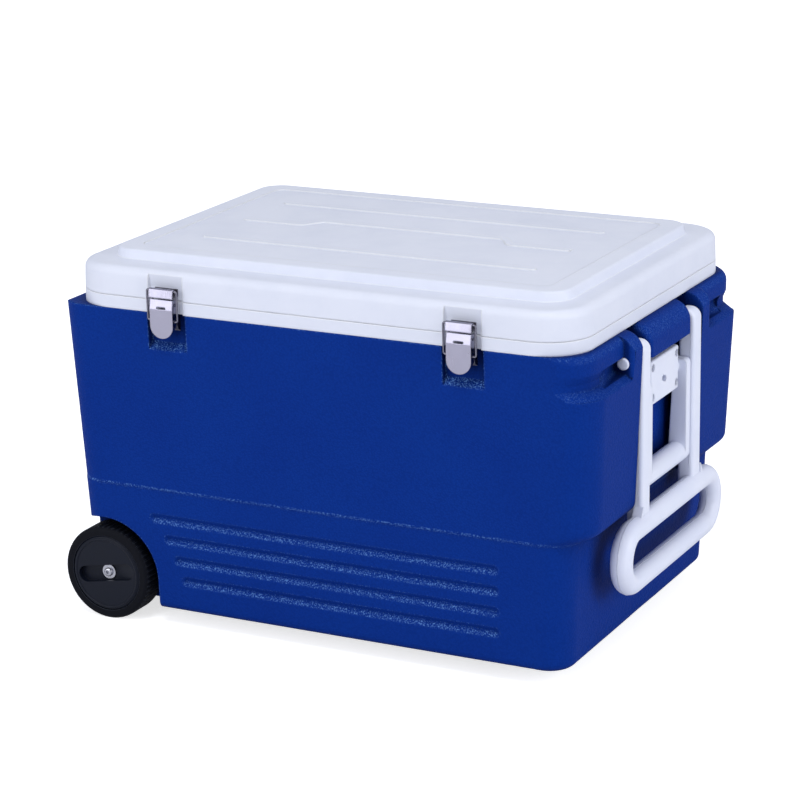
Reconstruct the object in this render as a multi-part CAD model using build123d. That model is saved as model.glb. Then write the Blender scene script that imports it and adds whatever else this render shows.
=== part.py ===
"""Wheeled insulated cool box for carrying vaccines, with a hinged lid, two draw latches,
a swing-out tow handle, a carry handle nested inside it, two wheels and a drain plug.

Millimetres, +Z up. The front is -Y and the handle end is +X. The solids are drawn with
z = 0 at the underside of the body, and save() lifts them by the ground clearance, so the
origin ends up on the ground under the middle of the box.
"""
from build123d import *
import math
import os

os.makedirs("parts", exist_ok=True)

# ---------------------------------------------------------------- overall
half_length_overall = 349.5     # wheel tread at one end, tow loop at the other
rim_half_length = half_length_overall - 29.5
rim_half_depth = 234.0
ground_clearance = 21.0         # underside of the body above the ground
hardware_reach = rim_half_depth + 10.5  # latch levers in front, hinge knuckles behind
body_gap = 0.3                  # between pieces that move against each other
bond_gap = 0.15                 # between the foam and the skins round it
fit_gap = 0.05                  # radial clearance of a pin or screw in its hole
clear_gap = 0.5                 # round a sunk head, and foam round a fastener

# ---------------------------------------------------------------- body shell
shell_height = 369.5            # underside to the seat of the white rim
shell_wall = 4.5
half_depth_base = rim_half_depth - 13.0  # half depth at the underside
corner_radius = 38.0
base_edge_radius = 10.0
left_end_base = rim_half_length + 2.6  # wheel end, at the underside
right_end_base = rim_half_length + 6.0  # handle end, upper zone carried down to the underside
end_draft = 0.0447              # outward lean of both ends, mm per mm
ledge_height = shell_height - 219.5  # the upper zone stands proud above this line
ledge_proud = 1.3
ledge_slope = 3.0
toe_base = right_end_base - 24.0  # handle end of the lower zone, at the underside
toe_top = toe_base + 6.0        # the same at the ledge
toe_corner_radius = 32.0
underside_rise = 12.5           # sloping underside of the upper zone above the toe
underside_radius = 12.0         # between that slope and the end
underside_steps = 4
shoulder_radius = 14.0          # rounded top edge at the wheel end

# ---------------------------------------------------------------- rim, lid and cavity
rim_corner_radius = 53.0
rim_height = 15.3
skin_wall = 3.0                 # liner, rim and lid mouldings
lid_gap = 0.4                   # between the rim and the lid
skirt_height = 33.6             # lid skirt up to its outer band
skirt_draft = 1.2
lid_edge_radius = 10.0
plateau_half_length = rim_half_length - 30.0
plateau_half_depth = rim_half_depth - 40.0
plateau_corner_radius = 31.0
plateau_height = 11.2
plateau_taper = 3.5
plateau_edge_radius = 2.5
panel_half_length = plateau_half_length - 28.0  # recessed centre of the plateau
panel_half_depth = plateau_half_depth - 27.0
panel_corner_radius = 14.0
panel_depth = 1.5
rib_half_length = panel_half_length - 47.0
rib_width = 9.0
rib_rise = 1.6
rib_offset = panel_half_depth - 69.0
rib_jog = 25.0                  # sideways step of the middle rib
rib_jog_start = 120.0
rib_jog_end = 138.0
cavity_half_length = rim_half_length - 50.0  # at the rim
cavity_half_depth = rim_half_depth - 47.0
cavity_corner_radius = 42.0
cavity_low_corner_radius = 32.0
cavity_floor = 52.0
cavity_draft_length = 12.0      # how much each side leans in down to the floor
cavity_draft_depth = 15.0
cavity_floor_radius = 16.0
plug_gap = 5.0                  # lid plug to cavity wall
plug_depth = 12.0
plug_taper = 2.0
plug_edge_radius = 4.0
gasket_width = 8.0
gasket_depth = 3.2
gasket_gap = 0.15               # gasket to each side of its groove
flange_gap = 0.1                # lid liner's flange inside the skirt

# ---------------------------------------------------------------- front and rear flutes
flute_heights = (115.0, 90.0, 65.0, 40.0)
flute_starts = (62.0, 80.0, 92.0, 101.0)        # from the wheel's axis
flute_right = toe_base - 76.0
flute_width = 15.0
flute_bed_width = 2.0
flute_depth = 3.0

# ---------------------------------------------------------------- handle end
recess_half_width = 93.0
recess_floor = right_end_base - 17.0
boss_half_width = 64.0
boss_reach = right_end_base + 13.5
boss_bottom = shell_height - 39.5
boss_radius = 24.0
cheek_width = 27.0              # wall block that carries the tow pin
cheek_outer = recess_half_width + cheek_width
gutter_x = right_end_base + 4.0  # drawn-in top block outside the cheeks
gutter_floor_x = gutter_x - 3.5
gutter_top = shell_height - 23.0
gutter_floor_top = shell_height - 31.5
gutter_floor_bottom = shell_height - 39.5
gutter_lip = shell_height - 49.0
gutter_corner_radius = 41.0
gutter_edge_radius = 11.0
gutter_edge_steps = 5
gutter_edge_sweep = 75.0        # degrees of the rounded top edge
gutter_fade = 1.0               # the block stands this far proud of the front, so the gutter fades out
cheek_edge_radius = 6.0
scoop_length = 60.0             # the gutter deepens towards the cheek, round the pin's head
scoop_depth = 9.0
scoop_top = gutter_floor_top + 5.0
scoop_bottom = gutter_floor_bottom - 4.0
scoop_edge_radius = 6.0
boss_end_radius = 8.0
end_relief_half_width = 90.0    # shallow arch under the end wall
end_relief_height = 5.0
end_relief_length = 45.0

# ---------------------------------------------------------------- tow handle
tow_pivot_x = right_end_base + 3.5
tow_pivot_z = shell_height - 31.5
tow_pin_radius = 4.0
tow_pin_head_radius = 7.0
tow_pin_head = 3.0
tow_pin_grip = 16.0             # how far each pin reaches into the boss
rail_inner = 66.5
rail_outer = 90.5
rail_front = half_length_overall - 8.0
rail_depth = 20.0
rail_top = tow_pivot_z + 17.0
rail_edge_radius = 4.0
rail_tip_radius = 12.0          # front edge of the tips
rail_tip_back_radius = 3.0
loop_tube_radius = 13.0
loop_upper = ledge_height - 9.0
loop_lower = loop_upper - 61.0
loop_half_width = 152.5         # outside of the loop's round ends
gusset_width = 6.0              # webs outside the rails, where they meet the loop
gusset_rise = 10.0
gusset_thickness = 12.0

# ---------------------------------------------------------------- carry handle
carry_pivot_x = right_end_base - 6.0
carry_pivot_z = tow_pivot_z - 47.0
carry_pin_radius = 4.0
knuckle_radius = 9.0
carry_arm_top = carry_pivot_z + 8.5
carry_arm_corner = 6.0          # rounded front corner of the arms' tops
bracket_half_width = 42.0
bracket_bottom = tow_pivot_z - 70.0
bracket_top = tow_pivot_z - 18.0
bracket_front = recess_floor + 22.5
carry_arm_width = 13.0
carry_front = rail_front - 4.0
carry_arm_depth_top = 16.0
carry_arm_depth_low = 22.0
carry_gap = 1.2                 # beside the tow rails
grip_height = loop_upper + 45.0
grip_radius = 13.0
bracket_screw_radius = 2.0
bracket_screw_head = 4.0
bracket_screw_head_height = 2.4
bracket_screw_sunk = 1.6        # heads below the bracket's face
bracket_screw_inset = 6.0
bracket_screw_margin = 8.5      # from the bracket's lower and upper edges
bracket_screw_length = 24.0
bracket_corner_radius = 3.0
bracket_front_radius = 2.0
keyhole_y = -2.0
keyhole_z = bracket_bottom + 23.0
keyhole_length = 13.0
keyhole_width = 7.0
keyhole_turn = -20.0
keyhole_depth = 6.0

# ---------------------------------------------------------------- wheels
wheel_radius = 57.5
wheel_width = 38.0
wheel_face = rim_half_depth - 8.0  # outer face of the wheel from the middle of the box
wheel_side_gap = 4.0            # wheel to the arch wall
arch_clearance = 12.5
tyre_thickness = 11.0
tread_grooves = 56
tread_groove_depth = 0.9
tread_groove_width = 1.6
hub_slot_length = 78.0
hub_slot_width = 20.0
hub_slot_depth = 8.0
hub_slot_turn = 10.0
hub_ramp_start = 12.0           # from the axle to where the slot's floor starts to rise
wheel_face_thickness = 5.0      # web behind the slot
wheel_spoke = 3.0
wheel_shell = 6.0               # rim of the wheel body under the tread band
hub_wall = 5.0                  # round the bush
tread_edge_radius = 5.0
axle_radius = 5.0
bush_wall = 3.0
washer_radius = 9.0
washer_thickness = 1.5
axle_screw_head_radius = 5.5
axle_screw_head = 3.6
axle_screw_radius = 3.0
axle_screw_length = 16.0
axle_screw_head_round = 1.6

# ---------------------------------------------------------------- feet
foot_x = right_end_base - 130.0
foot_y = rim_half_depth - 116.0
foot_length = 56.0
foot_width = 44.0
foot_taper = 4.0
foot_screw_radius = 2.5
foot_screw_head = 5.0
foot_screw_head_height = 3.0
foot_screw_length = 20.0
foot_screw_recess = 9.0         # seat of the screw head above the ground
foot_corner_radius = 8.0

# ---------------------------------------------------------------- latches
latch_x = rim_half_length - 132.0
latch_pocket_width = 50.0
latch_pocket_depth = 8.0
latch_pocket_bottom = shell_height - 44.5
notch_width = 45.0
notch_depth = 4.5
notch_ramp = shell_height + 31.0  # above this the lid's latch notch runs out to the face
notch_top = shell_height + 48.5
notch_rise = 2.5                # how far the ramp has come out at the notch's top
sheet = 1.2                     # pressed stainless sheet
lever_width = 30.0
lever_bottom = shell_height - 27.0
lever_bend = shell_height + 7.3
lever_top = shell_height + 18.5
lever_back = rim_half_depth + 1.3
lever_bend_back = 2.0
lever_pivot_y = rim_half_depth + 4.3
lever_pivot_z = shell_height + 12.5
bail_pivot_y = rim_half_depth + 6.5
bail_pivot_z = shell_height - 6.5
latch_pin_radius = 1.6
latch_eye_radius = 2.8
bail_wire_radius = 1.2
bail_half_width = 19.5
bail_top_y = rim_half_depth + 7.0
bail_top_z = shell_height + 29.0
hook_width = 31.5
hook_bottom = shell_height + 20.5
hook_lean = 1.0                 # foot of the hook plate, forward of its roll
strike_width = 30.0
strike_bottom = shell_height + 20.9
strike_top = shell_height + 27.5
rivet_radius = 1.6
rivet_head_radius = 3.0
rivet_head = 1.0
latch_rivet_heights = (shell_height - 16.0, shell_height - 8.0)
strike_rivet_xs = (-8.0, 8.0)
strike_rivet_drop = 1.8         # rivet axis below the strike's lip
latch_ear_bottom = shell_height - 20.5
latch_ear_reach = 6.0           # ears at their foot, out of the pocket's floor
latch_base_top = shell_height - 3.0
latch_slot_length = 12.0        # slot at the bend of the lever
latch_slot_width = 2.4
lever_flange_bottom = shell_height - 12.5  # where the side flanges start to narrow
lever_rim_top = shell_height - 18.5  # below this the tongue has only a low rim
lever_rim = 1.6
bail_bend = 2.2
bail_end_gap = 0.1

# ---------------------------------------------------------------- hinges
hinge_xs = (-latch_x, 0.0, latch_x)
hinge_knuckle_radius = 4.5
hinge_pin_radius = 2.0
hinge_width = 40.0
hinge_leaf = 2.6
hinge_leaf_height = 24.0
hinge_leaf_clear = 6.0          # seam to the nearer edge of each leaf plate
hinge_notch_top = shell_height + 45.5
hinge_screw_radius = 1.8
hinge_screw_head = 3.6
hinge_screw_head_height = 1.6
hinge_screw_spacing = 24.0
hinge_screw_length = 12.0

# ---------------------------------------------------------------- wheel-end grab and drain
grab_half_width = 62.0
grab_bottom = shell_height - 81.5
grab_top = grab_bottom + 38.0
grab_depth = 24.0
drain_height = 66.0
drain_bore = 8.0
drain_tube = 11.5
drain_flange = 17.0
drain_flange_thickness = 3.0
drain_seat_depth = 3.0          # round seat sunk in the end wall
drain_seat_radius = 19.0
drain_neck = 12.0               # outer neck that carries the cap
drain_neck_length = 8.0
drain_cap_wall = 2.5
drain_cap_end = 3.0
drain_cap_gap = 0.2             # radial clearance of the cap on the neck
drain_cap_ribs = 12
drain_cap_rib_radius = 1.0
drain_washer_thickness = 1.0
drain_end_gap = 2.5             # spigot end short of the cavity wall's face

# ---------------------------------------------------------------- worked-out places
body_slope = (rim_half_depth - half_depth_base) / shell_height
seam = shell_height + rim_height                # top of the rim
lid_base = seam + lid_gap
lid_band = lid_base + skirt_height
lid_top = lid_band + plateau_height
wheel_x = wheel_radius - half_length_overall
wheel_z = wheel_radius - ground_clearance
arch_radius = wheel_radius + arch_clearance
arch_wall = wheel_face - wheel_width - wheel_side_gap
loop_x = half_length_overall - loop_tube_radius
loop_half_run = loop_half_width - loop_tube_radius      # centreline reach of the loop
front_tilt = math.degrees(math.atan(body_slope))
far = 60.0                                      # overshoot of cutting tools


# ---------------------------------------------------------------- drawing helpers
def block(x0, x1, y0, y1, z0, z1):
    return Pos((x0 + x1) / 2, (y0 + y1) / 2, (z0 + z1) / 2) * Box(x1 - x0, y1 - y0, z1 - z0)


def rod_x(radius, y, z, x0, x1):
    return Pos((x0 + x1) / 2, y, z) * Rot(0, 90, 0) * Cylinder(radius, x1 - x0)


def rod_y(radius, x, z, y0, y1):
    return Pos(x, (y0 + y1) / 2, z) * Rot(90, 0, 0) * Cylinder(radius, y1 - y0)


def rod_z(radius, x, y, z0, z1):
    return Pos(x, y, (z0 + z1) / 2) * Cylinder(radius, z1 - z0)


def side_cut(points, y0, y1):
    """A prism along Y from an outline in (x, z)."""
    return extrude(Plane.XZ.offset(-y1) * Polygon(*points, align=None), y1 - y0, dir=(0, -1, 0))


def cross_cut(points, x0, x1):
    """A prism along X from an outline in (y, z)."""
    return extrude(Plane.YZ.offset(x0) * Polygon(*points, align=None), x1 - x0, dir=(1, 0, 0))


def ring(half_length, half_depth, radius, z, x=0.0):
    return Plane.XY.offset(z) * Pos(x, 0) * RectangleRounded(2 * half_length, 2 * half_depth, radius)


def slab(half_length, half_depth, radius, z0, z1, x=0.0):
    return extrude(ring(half_length, half_depth, radius, z0, x), z1 - z0)


def both_sides(shape):
    """The shape and its mirror image behind the middle plane, as one list."""
    return [shape, mirror(shape, about=Plane.XZ)]


def edge_round(x_edge, z_edge, radius, side, y0, y1):
    """What a rounded top edge takes off; side is +1 at the handle end and -1 at the wheel end."""
    x_in = x_edge - side * radius
    x_out = x_edge + side * far
    corner = block(min(x_in, x_out), max(x_in, x_out), y0, y1, z_edge - radius, z_edge + far)
    return corner - rod_y(radius, x_in, z_edge - radius, y0 - 1, y1 + 1)


def save(name, *shapes):
    solids = [solid for shape in shapes for solid in shape.solids()]
    lifted = [Pos(0, 0, ground_clearance) * solid for solid in solids]
    export_step(lifted[0] if len(lifted) == 1 else Compound(children=lifted), f"parts/{name}.step")


# ---------------------------------------------------------------- body outline
def body_half_depth(z):
    return half_depth_base + body_slope * z


def left_end(z):
    return left_end_base + end_draft * z


def right_end(z):
    return right_end_base + end_draft * z


def body_section(z, left, right, half_depth, radius, inset):
    half_length = (left + right) / 2 - inset
    return ring(half_length, half_depth - inset, max(radius - inset, 5.0), z, (right - left) / 2)


def body_stack(inset, z_low, z_high):
    """The body's outer form, or the same form drawn in by a wall."""
    ledge_top = ledge_height + ledge_slope
    shelf = ledge_height + underside_rise
    toe_slope = (toe_top - toe_base) / ledge_height
    undercut = (right_end(shelf) - toe_top) / underside_rise
    slope_angle = math.atan(undercut)
    arc_middle = shelf + underside_radius * math.tan(slope_angle / 2)
    sections = [
        body_section(z_low, left_end(z_low) - ledge_proud, toe_base + toe_slope * z_low,
                     body_half_depth(z_low) - ledge_proud, toe_corner_radius, inset),
        body_section(ledge_height, left_end(ledge_height) - ledge_proud, toe_top,
                     body_half_depth(ledge_height) - ledge_proud, toe_corner_radius, inset),
        body_section(ledge_top, left_end(ledge_top), toe_top + undercut * ledge_slope,
                     body_half_depth(ledge_top), corner_radius, inset),
    ]
    for step in range(underside_steps + 1):
        angle = slope_angle * (1 - step / underside_steps)
        z = arc_middle - underside_radius * math.sin(angle)
        right = right_end(z) - underside_radius * (1 - math.cos(angle))
        sections.append(body_section(z, left_end(z), right, body_half_depth(z), corner_radius, inset))
    sections.append(body_section(z_high, left_end(z_high), right_end(z_high),
                                 body_half_depth(z_high), corner_radius, inset))
    return loft(sections, ruled=True)


def wheel_arch(grow):
    """The space of one wheel at the front, open below, outwards and to the end."""
    outer = body_half_depth(shell_height) + far
    round_top = rod_y(arch_radius + grow, wheel_x, wheel_z, -outer, -arch_wall + grow)
    skirt = block(wheel_x - arch_radius - far, wheel_x + arch_radius + grow,
                  -outer, -arch_wall + grow, -far, wheel_z)
    return round_top + skirt


def latch_pocket(x, grow):
    """Pocket in the body behind a latch, with a sloping floor at its lower end."""
    face = body_half_depth(latch_pocket_bottom)
    floor = face - latch_pocket_depth - grow
    low = latch_pocket_bottom - grow
    outline = [(-face - far, low - far), (-face - 1, low - 1), (-floor, low + latch_pocket_depth),
               (-floor, shell_height + far), (-face - far, shell_height + far)]
    half = latch_pocket_width / 2 + grow
    return cross_cut(outline, x - half, x + half)


def seam_notch(x, grow, z0, z1):
    """Upright notch in the faces of the rim and the lid, in front."""
    half = notch_width / 2 + grow
    return block(x - half, x + half, -rim_half_depth - far, -rim_half_depth + notch_depth + grow, z0, z1)


def latch_notch(x, grow):
    """Notch in the lid above a latch, with a floor that ramps out at the top."""
    half = notch_width / 2 + grow
    floor = -rim_half_depth + notch_depth + grow
    outline = [(-rim_half_depth - far, lid_base - 2), (floor, lid_base - 2), (floor, notch_ramp),
               (floor - notch_rise, notch_top), (-rim_half_depth - far, notch_top)]
    return cross_cut(outline, x - half, x + half)


def hinge_pocket(x, grow):
    """Shallow pocket in the body behind a hinge leaf; it carries on from the rim's notch."""
    low = seam - hinge_leaf_clear - hinge_leaf_height - 2
    notch = seam_notch(x, grow, low - grow, shell_height + far)
    return mirror(notch, about=Plane.XZ)


def grab_recess(grow):
    """Finger recess at the wheel end, under the shoulder."""
    outer = left_end(grab_top) + far
    inner = left_end(grab_bottom) - grab_depth - grow
    half = grab_half_width + grow
    pocket = block(-outer, -inner, -half, half, grab_bottom - grow, grab_top + grow)
    return fillet(pocket.edges().filter_by(Axis.X), 8.0 + grow)


def handle_recess_outline(grow):
    """The whole recess at the handle end."""
    half = recess_half_width + grow
    return block(recess_floor - grow, boss_reach + far, -half, half, ledge_height - grow, shell_height + far)


def handle_recess():
    """The recess less the boss between the two slots that take the tips of the tow rails."""
    boss = block(recess_floor - 2, boss_reach, -boss_half_width, boss_half_width, boss_bottom, shell_height)
    boss -= edge_round(boss_reach, shell_height, boss_radius, 1, -boss_half_width - 1, boss_half_width + 1)
    front = boss.faces().sort_by(Axis.X)[-1]
    ends = boss.edges().filter_by(lambda edge: abs(abs(edge.center().Y) - boss_half_width) < 0.1
                                  and edge.center().X > front.center().X - boss_radius)
    boss = fillet(ends, boss_end_radius)
    return handle_recess_outline(0) - boss


def gutter_block(inset):
    """The top of the handle end outside the cheeks: a gutter above the lip, then a rounded top edge."""
    ends = [(gutter_lip, right_end(gutter_lip)), (gutter_floor_bottom, gutter_floor_x),
            (gutter_floor_top, gutter_floor_x), (gutter_top, gutter_x)]
    for step in range(gutter_edge_steps + 1):
        angle = math.radians(gutter_edge_sweep * step / gutter_edge_steps)
        ends.append((shell_height - gutter_edge_radius * (1 - math.sin(angle)),
                     gutter_x - gutter_edge_radius * (1 - math.cos(angle))))
    ends.append((shell_height + far, ends[-1][1]))
    sections = []
    for z, x in ends:
        half_length = (x - inset) / 2
        half_depth = body_half_depth(z) + gutter_fade - inset
        sections.append(ring(half_length, half_depth, gutter_corner_radius - inset, z, half_length))
    return loft(sections, ruled=True)


def gutter(inset):
    """What the gutter takes off all round the end, from its lip upwards."""
    end = right_end(shell_height) + far
    zone = block(end / 2, end, -rim_half_depth - far, rim_half_depth + far, gutter_lip, shell_height + far)
    return zone - gutter_block(inset)


def scoop():
    """Hollow in the gutter's floor at the front, deepest against the cheek."""
    outline = [(gutter_x + far, -cheek_outer), (gutter_floor_x - scoop_depth, -cheek_outer),
               (gutter_floor_x, -cheek_outer - scoop_length), (gutter_x + far, -cheek_outer - scoop_length)]
    hollow = extrude(Plane.XY.offset(scoop_bottom) * Polygon(*outline, align=None), scoop_top - scoop_bottom)
    floor = hollow.faces().sort_by(Axis.X)[0]
    return fillet(floor.edges().filter_by(Axis.Z, reverse=True), scoop_edge_radius)


def cheek_round():
    """What the rounded outer edge of the front cheek takes off, above the gutter's slope."""
    x_in = right_end(tow_pivot_z) - cheek_edge_radius
    y_in = -cheek_outer + cheek_edge_radius
    corner = block(x_in, x_in + far, -cheek_outer - 1, y_in, gutter_lip + 2, shell_height + 1)
    return corner - rod_z(cheek_edge_radius, x_in, y_in, gutter_lip, shell_height + 2)


def flutes():
    """Moulded flutes of the lower front, in the leaning plane of that face."""
    face = Plane(origin=(0, -(half_depth_base - ledge_proud), 0), x_dir=(1, 0, 0),
                 z_dir=(0, -math.cos(math.radians(front_tilt)), -math.sin(math.radians(front_tilt))))
    cuts = []
    for height, start in zip(flute_heights, flute_starts):
        left = wheel_x + start
        middle = (left + flute_right) / 2
        mouth = face.offset(1) * Pos(middle, height) * SlotOverall(flute_right - left, flute_width + 1)
        bed = face.offset(-flute_depth) * Pos(middle, height) * SlotOverall(
            flute_right - left - flute_width + flute_bed_width, flute_bed_width)
        cuts.append(loft([mouth, bed], ruled=True))
    return cuts


# ---------------------------------------------------------------- fastener places
tow_pin_end = boss_half_width - tow_pin_grip
bracket_screw_places = [(y, z) for y in (-bracket_half_width + bracket_screw_inset,
                                         bracket_half_width - bracket_screw_inset)
                        for z in (bracket_bottom + bracket_screw_margin,
                                  bracket_top - bracket_screw_margin)]
bracket_screw_seat = bracket_front - bracket_screw_sunk - bracket_screw_head_height
latch_floor = body_half_depth(latch_pocket_bottom) - latch_pocket_depth
hinge_seat = rim_half_depth - notch_depth
hinge_plate_middle = hinge_leaf_clear + hinge_leaf_height / 2
drain_seat_x = -(left_end(drain_height) - ledge_proud - drain_seat_depth)


def hinge_screw_spots(x):
    return [x - hinge_screw_spacing / 2, x + hinge_screw_spacing / 2]


# ---------------------------------------------------------------- body shell
def inner_form(inset):
    """Inside of the body: the drawn-in form less what the outside features take up."""
    void = body_stack(inset, inset, shell_height + 1)
    grow = inset
    void -= handle_recess_outline(grow)
    for tool in both_sides(wheel_arch(grow)):
        void -= tool
    end = left_end(shell_height) + far
    void -= block(-end, -rim_half_length + grow, -rim_half_depth, rim_half_depth,
                  shell_height - shoulder_radius - grow, shell_height + far)
    void -= block(recess_floor - grow, end, -rim_half_depth, rim_half_depth,
                  gutter_lip - grow, shell_height + far)
    void -= gutter(grow)
    deck = block(-end, end, -rim_half_depth, rim_half_depth, shell_height - grow, shell_height + far)
    void -= deck - slab(rim_half_length - grow, rim_half_depth - grow, rim_corner_radius - grow,
                        shell_height - grow - 1, shell_height + far + 1)
    for x in (-latch_x, latch_x):
        void -= latch_pocket(x, grow)
    for x in hinge_xs:
        void -= hinge_pocket(x, grow)
    void -= grab_recess(grow)
    void -= rod_x(drain_seat_radius + grow, 0, drain_height, drain_seat_x - far, drain_seat_x + grow)
    relief = end_relief_height + grow
    void -= block(toe_base - end_relief_length - grow, toe_base + far,
                  -end_relief_half_width - grow, end_relief_half_width + grow, -far, relief)
    return void


shell = body_stack(0, 0, shell_height)
shell = fillet(shell.edges().group_by(Axis.Z)[0], base_edge_radius)
shell -= handle_recess()
shell -= edge_round(-left_end(shell_height), shell_height, shoulder_radius, -1,
                    -rim_half_depth - 1, rim_half_depth + 1)
for tool in both_sides(edge_round(right_end(shell_height), shell_height, boss_radius, 1,
                                  -cheek_outer, -recess_half_width)):
    shell -= tool
between_cheeks = block(0, boss_reach + far, -cheek_outer, cheek_outer, gutter_lip - 1, shell_height + far + 1)
shell -= gutter(0) - between_cheeks
for tool in both_sides(scoop()) + both_sides(cheek_round()):
    shell -= tool
for tool in both_sides(wheel_arch(0)):
    shell -= tool
for x in (-latch_x, latch_x):
    shell -= latch_pocket(x, 0)
for x in hinge_xs:
    shell -= hinge_pocket(x, 0)
shell -= grab_recess(0)
for cut in flutes():
    for tool in both_sides(cut):
        shell -= tool
relief_radius = (end_relief_half_width ** 2 + end_relief_height ** 2) / (2 * end_relief_height)
shell -= rod_x(relief_radius, 0, end_relief_height - relief_radius,
               toe_base - end_relief_length, toe_base + far)
void = inner_form(shell_wall)
shell -= void

# holes for the pins, screws, rivets, axle and drain
tow_bore = rod_y(tow_pin_radius + fit_gap, tow_pivot_x, tow_pivot_z, -cheek_outer - 1, -tow_pin_end)
tow_bore += rod_y(tow_pin_head_radius + clear_gap, tow_pivot_x, tow_pivot_z,
                  -cheek_outer - far, -cheek_outer)
for tool in both_sides(tow_bore):
    shell -= tool
for y, z in bracket_screw_places:
    shell -= rod_x(bracket_screw_radius + fit_gap, y, z,
                   bracket_front - bracket_screw_length, boss_reach)
for x in (-latch_x, latch_x):
    for z in latch_rivet_heights:
        shell -= rod_y(rivet_radius + fit_gap, x, z, -latch_floor - 1, -latch_floor + far)
for x in hinge_xs:
    for spot in hinge_screw_spots(x):
        shell -= rod_y(hinge_screw_radius + fit_gap, spot, seam - hinge_plate_middle,
                       hinge_seat - far / 2, hinge_seat + 1)
shell -= rod_y(axle_radius + fit_gap, wheel_x, wheel_z, -arch_wall - 1, arch_wall + 1)
shell -= rod_x(drain_seat_radius, 0, drain_height, drain_seat_x - far, drain_seat_x)
shell -= rod_x(drain_tube + fit_gap, 0, drain_height, drain_seat_x - 1, drain_seat_x + shell_wall + 8)
for y in (-foot_y, foot_y):
    shell -= rod_z(foot_screw_radius + fit_gap, foot_x, y, -1, shell_wall + 2)
save("body_shell", shell)

# ---------------------------------------------------------------- liner with its rim
cavity_sections = [
    ring(cavity_half_length - cavity_draft_length, cavity_half_depth - cavity_draft_depth,
         cavity_low_corner_radius, cavity_floor),
    ring(cavity_half_length, cavity_half_depth, cavity_corner_radius, seam),
]
cavity = loft(cavity_sections, ruled=True)
cavity = fillet(cavity.edges().group_by(Axis.Z)[0], cavity_floor_radius)


def tub(grow):
    outer = loft([
        ring(cavity_half_length - cavity_draft_length + skin_wall + grow,
             cavity_half_depth - cavity_draft_depth + skin_wall + grow,
             cavity_low_corner_radius + skin_wall + grow, cavity_floor - skin_wall - grow),
        ring(cavity_half_length + skin_wall + grow, cavity_half_depth + skin_wall + grow,
             cavity_corner_radius + skin_wall + grow, seam),
    ], ruled=True)
    return fillet(outer.edges().group_by(Axis.Z)[0], cavity_floor_radius + skin_wall + grow)


def rim_form(inset, z0, z1):
    form = slab(rim_half_length - inset, rim_half_depth - inset, rim_corner_radius - inset, z0, z1)
    for x in (-latch_x, latch_x):
        form -= seam_notch(x, inset, z0 - 1, z1 + 1)
    for x in hinge_xs:
        form -= mirror(seam_notch(x, inset, z0 - 1, z1 + 1), about=Plane.XZ)
    return form


rim = rim_form(0, shell_height, seam) - rim_form(skin_wall, shell_height, seam - skin_wall)
liner = rim + tub(0) - cavity
drain_liner_x = -(cavity_half_length - cavity_draft_length)
liner -= rod_x(drain_tube + fit_gap, 0, drain_height, drain_liner_x - 12, drain_liner_x + 12)
save("liner", liner)

# ---------------------------------------------------------------- foam round the liner
foam_upper = rim_form(skin_wall + bond_gap, shell_height, seam - skin_wall - bond_gap)
foam = inner_form(shell_wall + bond_gap)
foam -= block(-half_length_overall, half_length_overall, -hardware_reach, hardware_reach,
              shell_height, shell_height + far)
foam += foam_upper
foam -= tub(bond_gap)
foam -= rod_y(axle_radius + 1, wheel_x, wheel_z, -arch_wall, arch_wall)
foam -= rod_x(drain_tube + 1, 0, drain_height, drain_seat_x, drain_liner_x + 20)
for x in (-latch_x, latch_x):
    for z in latch_rivet_heights:
        foam -= rod_y(rivet_head_radius + clear_gap, x, z, -latch_floor - 1, -latch_floor + 12)
for x in hinge_xs:
    for spot in hinge_screw_spots(x):
        foam -= rod_y(hinge_screw_radius + clear_gap, spot, seam - hinge_plate_middle,
                      hinge_seat - 16, hinge_seat + 1)
for y, z in bracket_screw_places:
    foam -= rod_x(bracket_screw_radius + clear_gap, y, z,
                  bracket_front - bracket_screw_length - 1, boss_reach)
for y in (-foot_y, foot_y):
    foam -= rod_z(foot_screw_radius + clear_gap, foot_x, y, 0, foot_screw_length + 2)
save("body_foam", foam)

# ---------------------------------------------------------------- lid
def lid_form(inset, z0):
    """The lid's outer form, or the same form drawn in by its wall."""
    band_length = rim_half_length - skirt_draft - inset
    band_depth = rim_half_depth - skirt_draft - inset
    skirt = loft([
        ring(rim_half_length - inset, rim_half_depth - inset, rim_corner_radius - inset, z0),
        ring(band_length, band_depth, rim_corner_radius - skirt_draft - inset, lid_band - inset),
    ], ruled=True)
    skirt = fillet(skirt.edges().group_by(Axis.Z)[-1], lid_edge_radius - inset / 2)
    plateau = loft([
        ring(plateau_half_length - inset, plateau_half_depth - inset,
             plateau_corner_radius - inset, lid_band - inset - 1),
        ring(plateau_half_length - plateau_taper - inset, plateau_half_depth - plateau_taper - inset,
             plateau_corner_radius - plateau_taper - inset, lid_top - inset),
    ], ruled=True)
    plateau = fillet(plateau.edges().group_by(Axis.Z)[-1], plateau_edge_radius)
    form = skirt + plateau
    for x in (-latch_x, latch_x):
        form -= latch_notch(x, inset)
    for x in hinge_xs:
        form -= mirror(seam_notch(x, inset, z0 - 1, hinge_notch_top + inset), about=Plane.XZ)
    return form


def lid_ribs():
    """Raised ribs of the lid panel: two straight ones, and a middle one that jogs sideways."""
    low = lid_top - panel_depth
    path = [(-rib_half_length, 0), (-rib_jog_end, 0), (-rib_jog_start, rib_jog),
            (rib_jog_start, rib_jog), (rib_jog_end, 0), (rib_half_length, 0)]
    line = FilletPolyline(*path, radius=rib_jog / 2.5)
    jogged = Plane.XY.offset(low) * trace(line, line_width=rib_width)
    ribs = [extrude(jogged, rib_rise)]
    for y in (-rib_offset, rib_offset):
        straight = Plane.XY.offset(low) * Pos(0, y) * SlotOverall(2 * rib_half_length, rib_width)
        ribs.append(extrude(straight, rib_rise))
    return ribs


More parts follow.
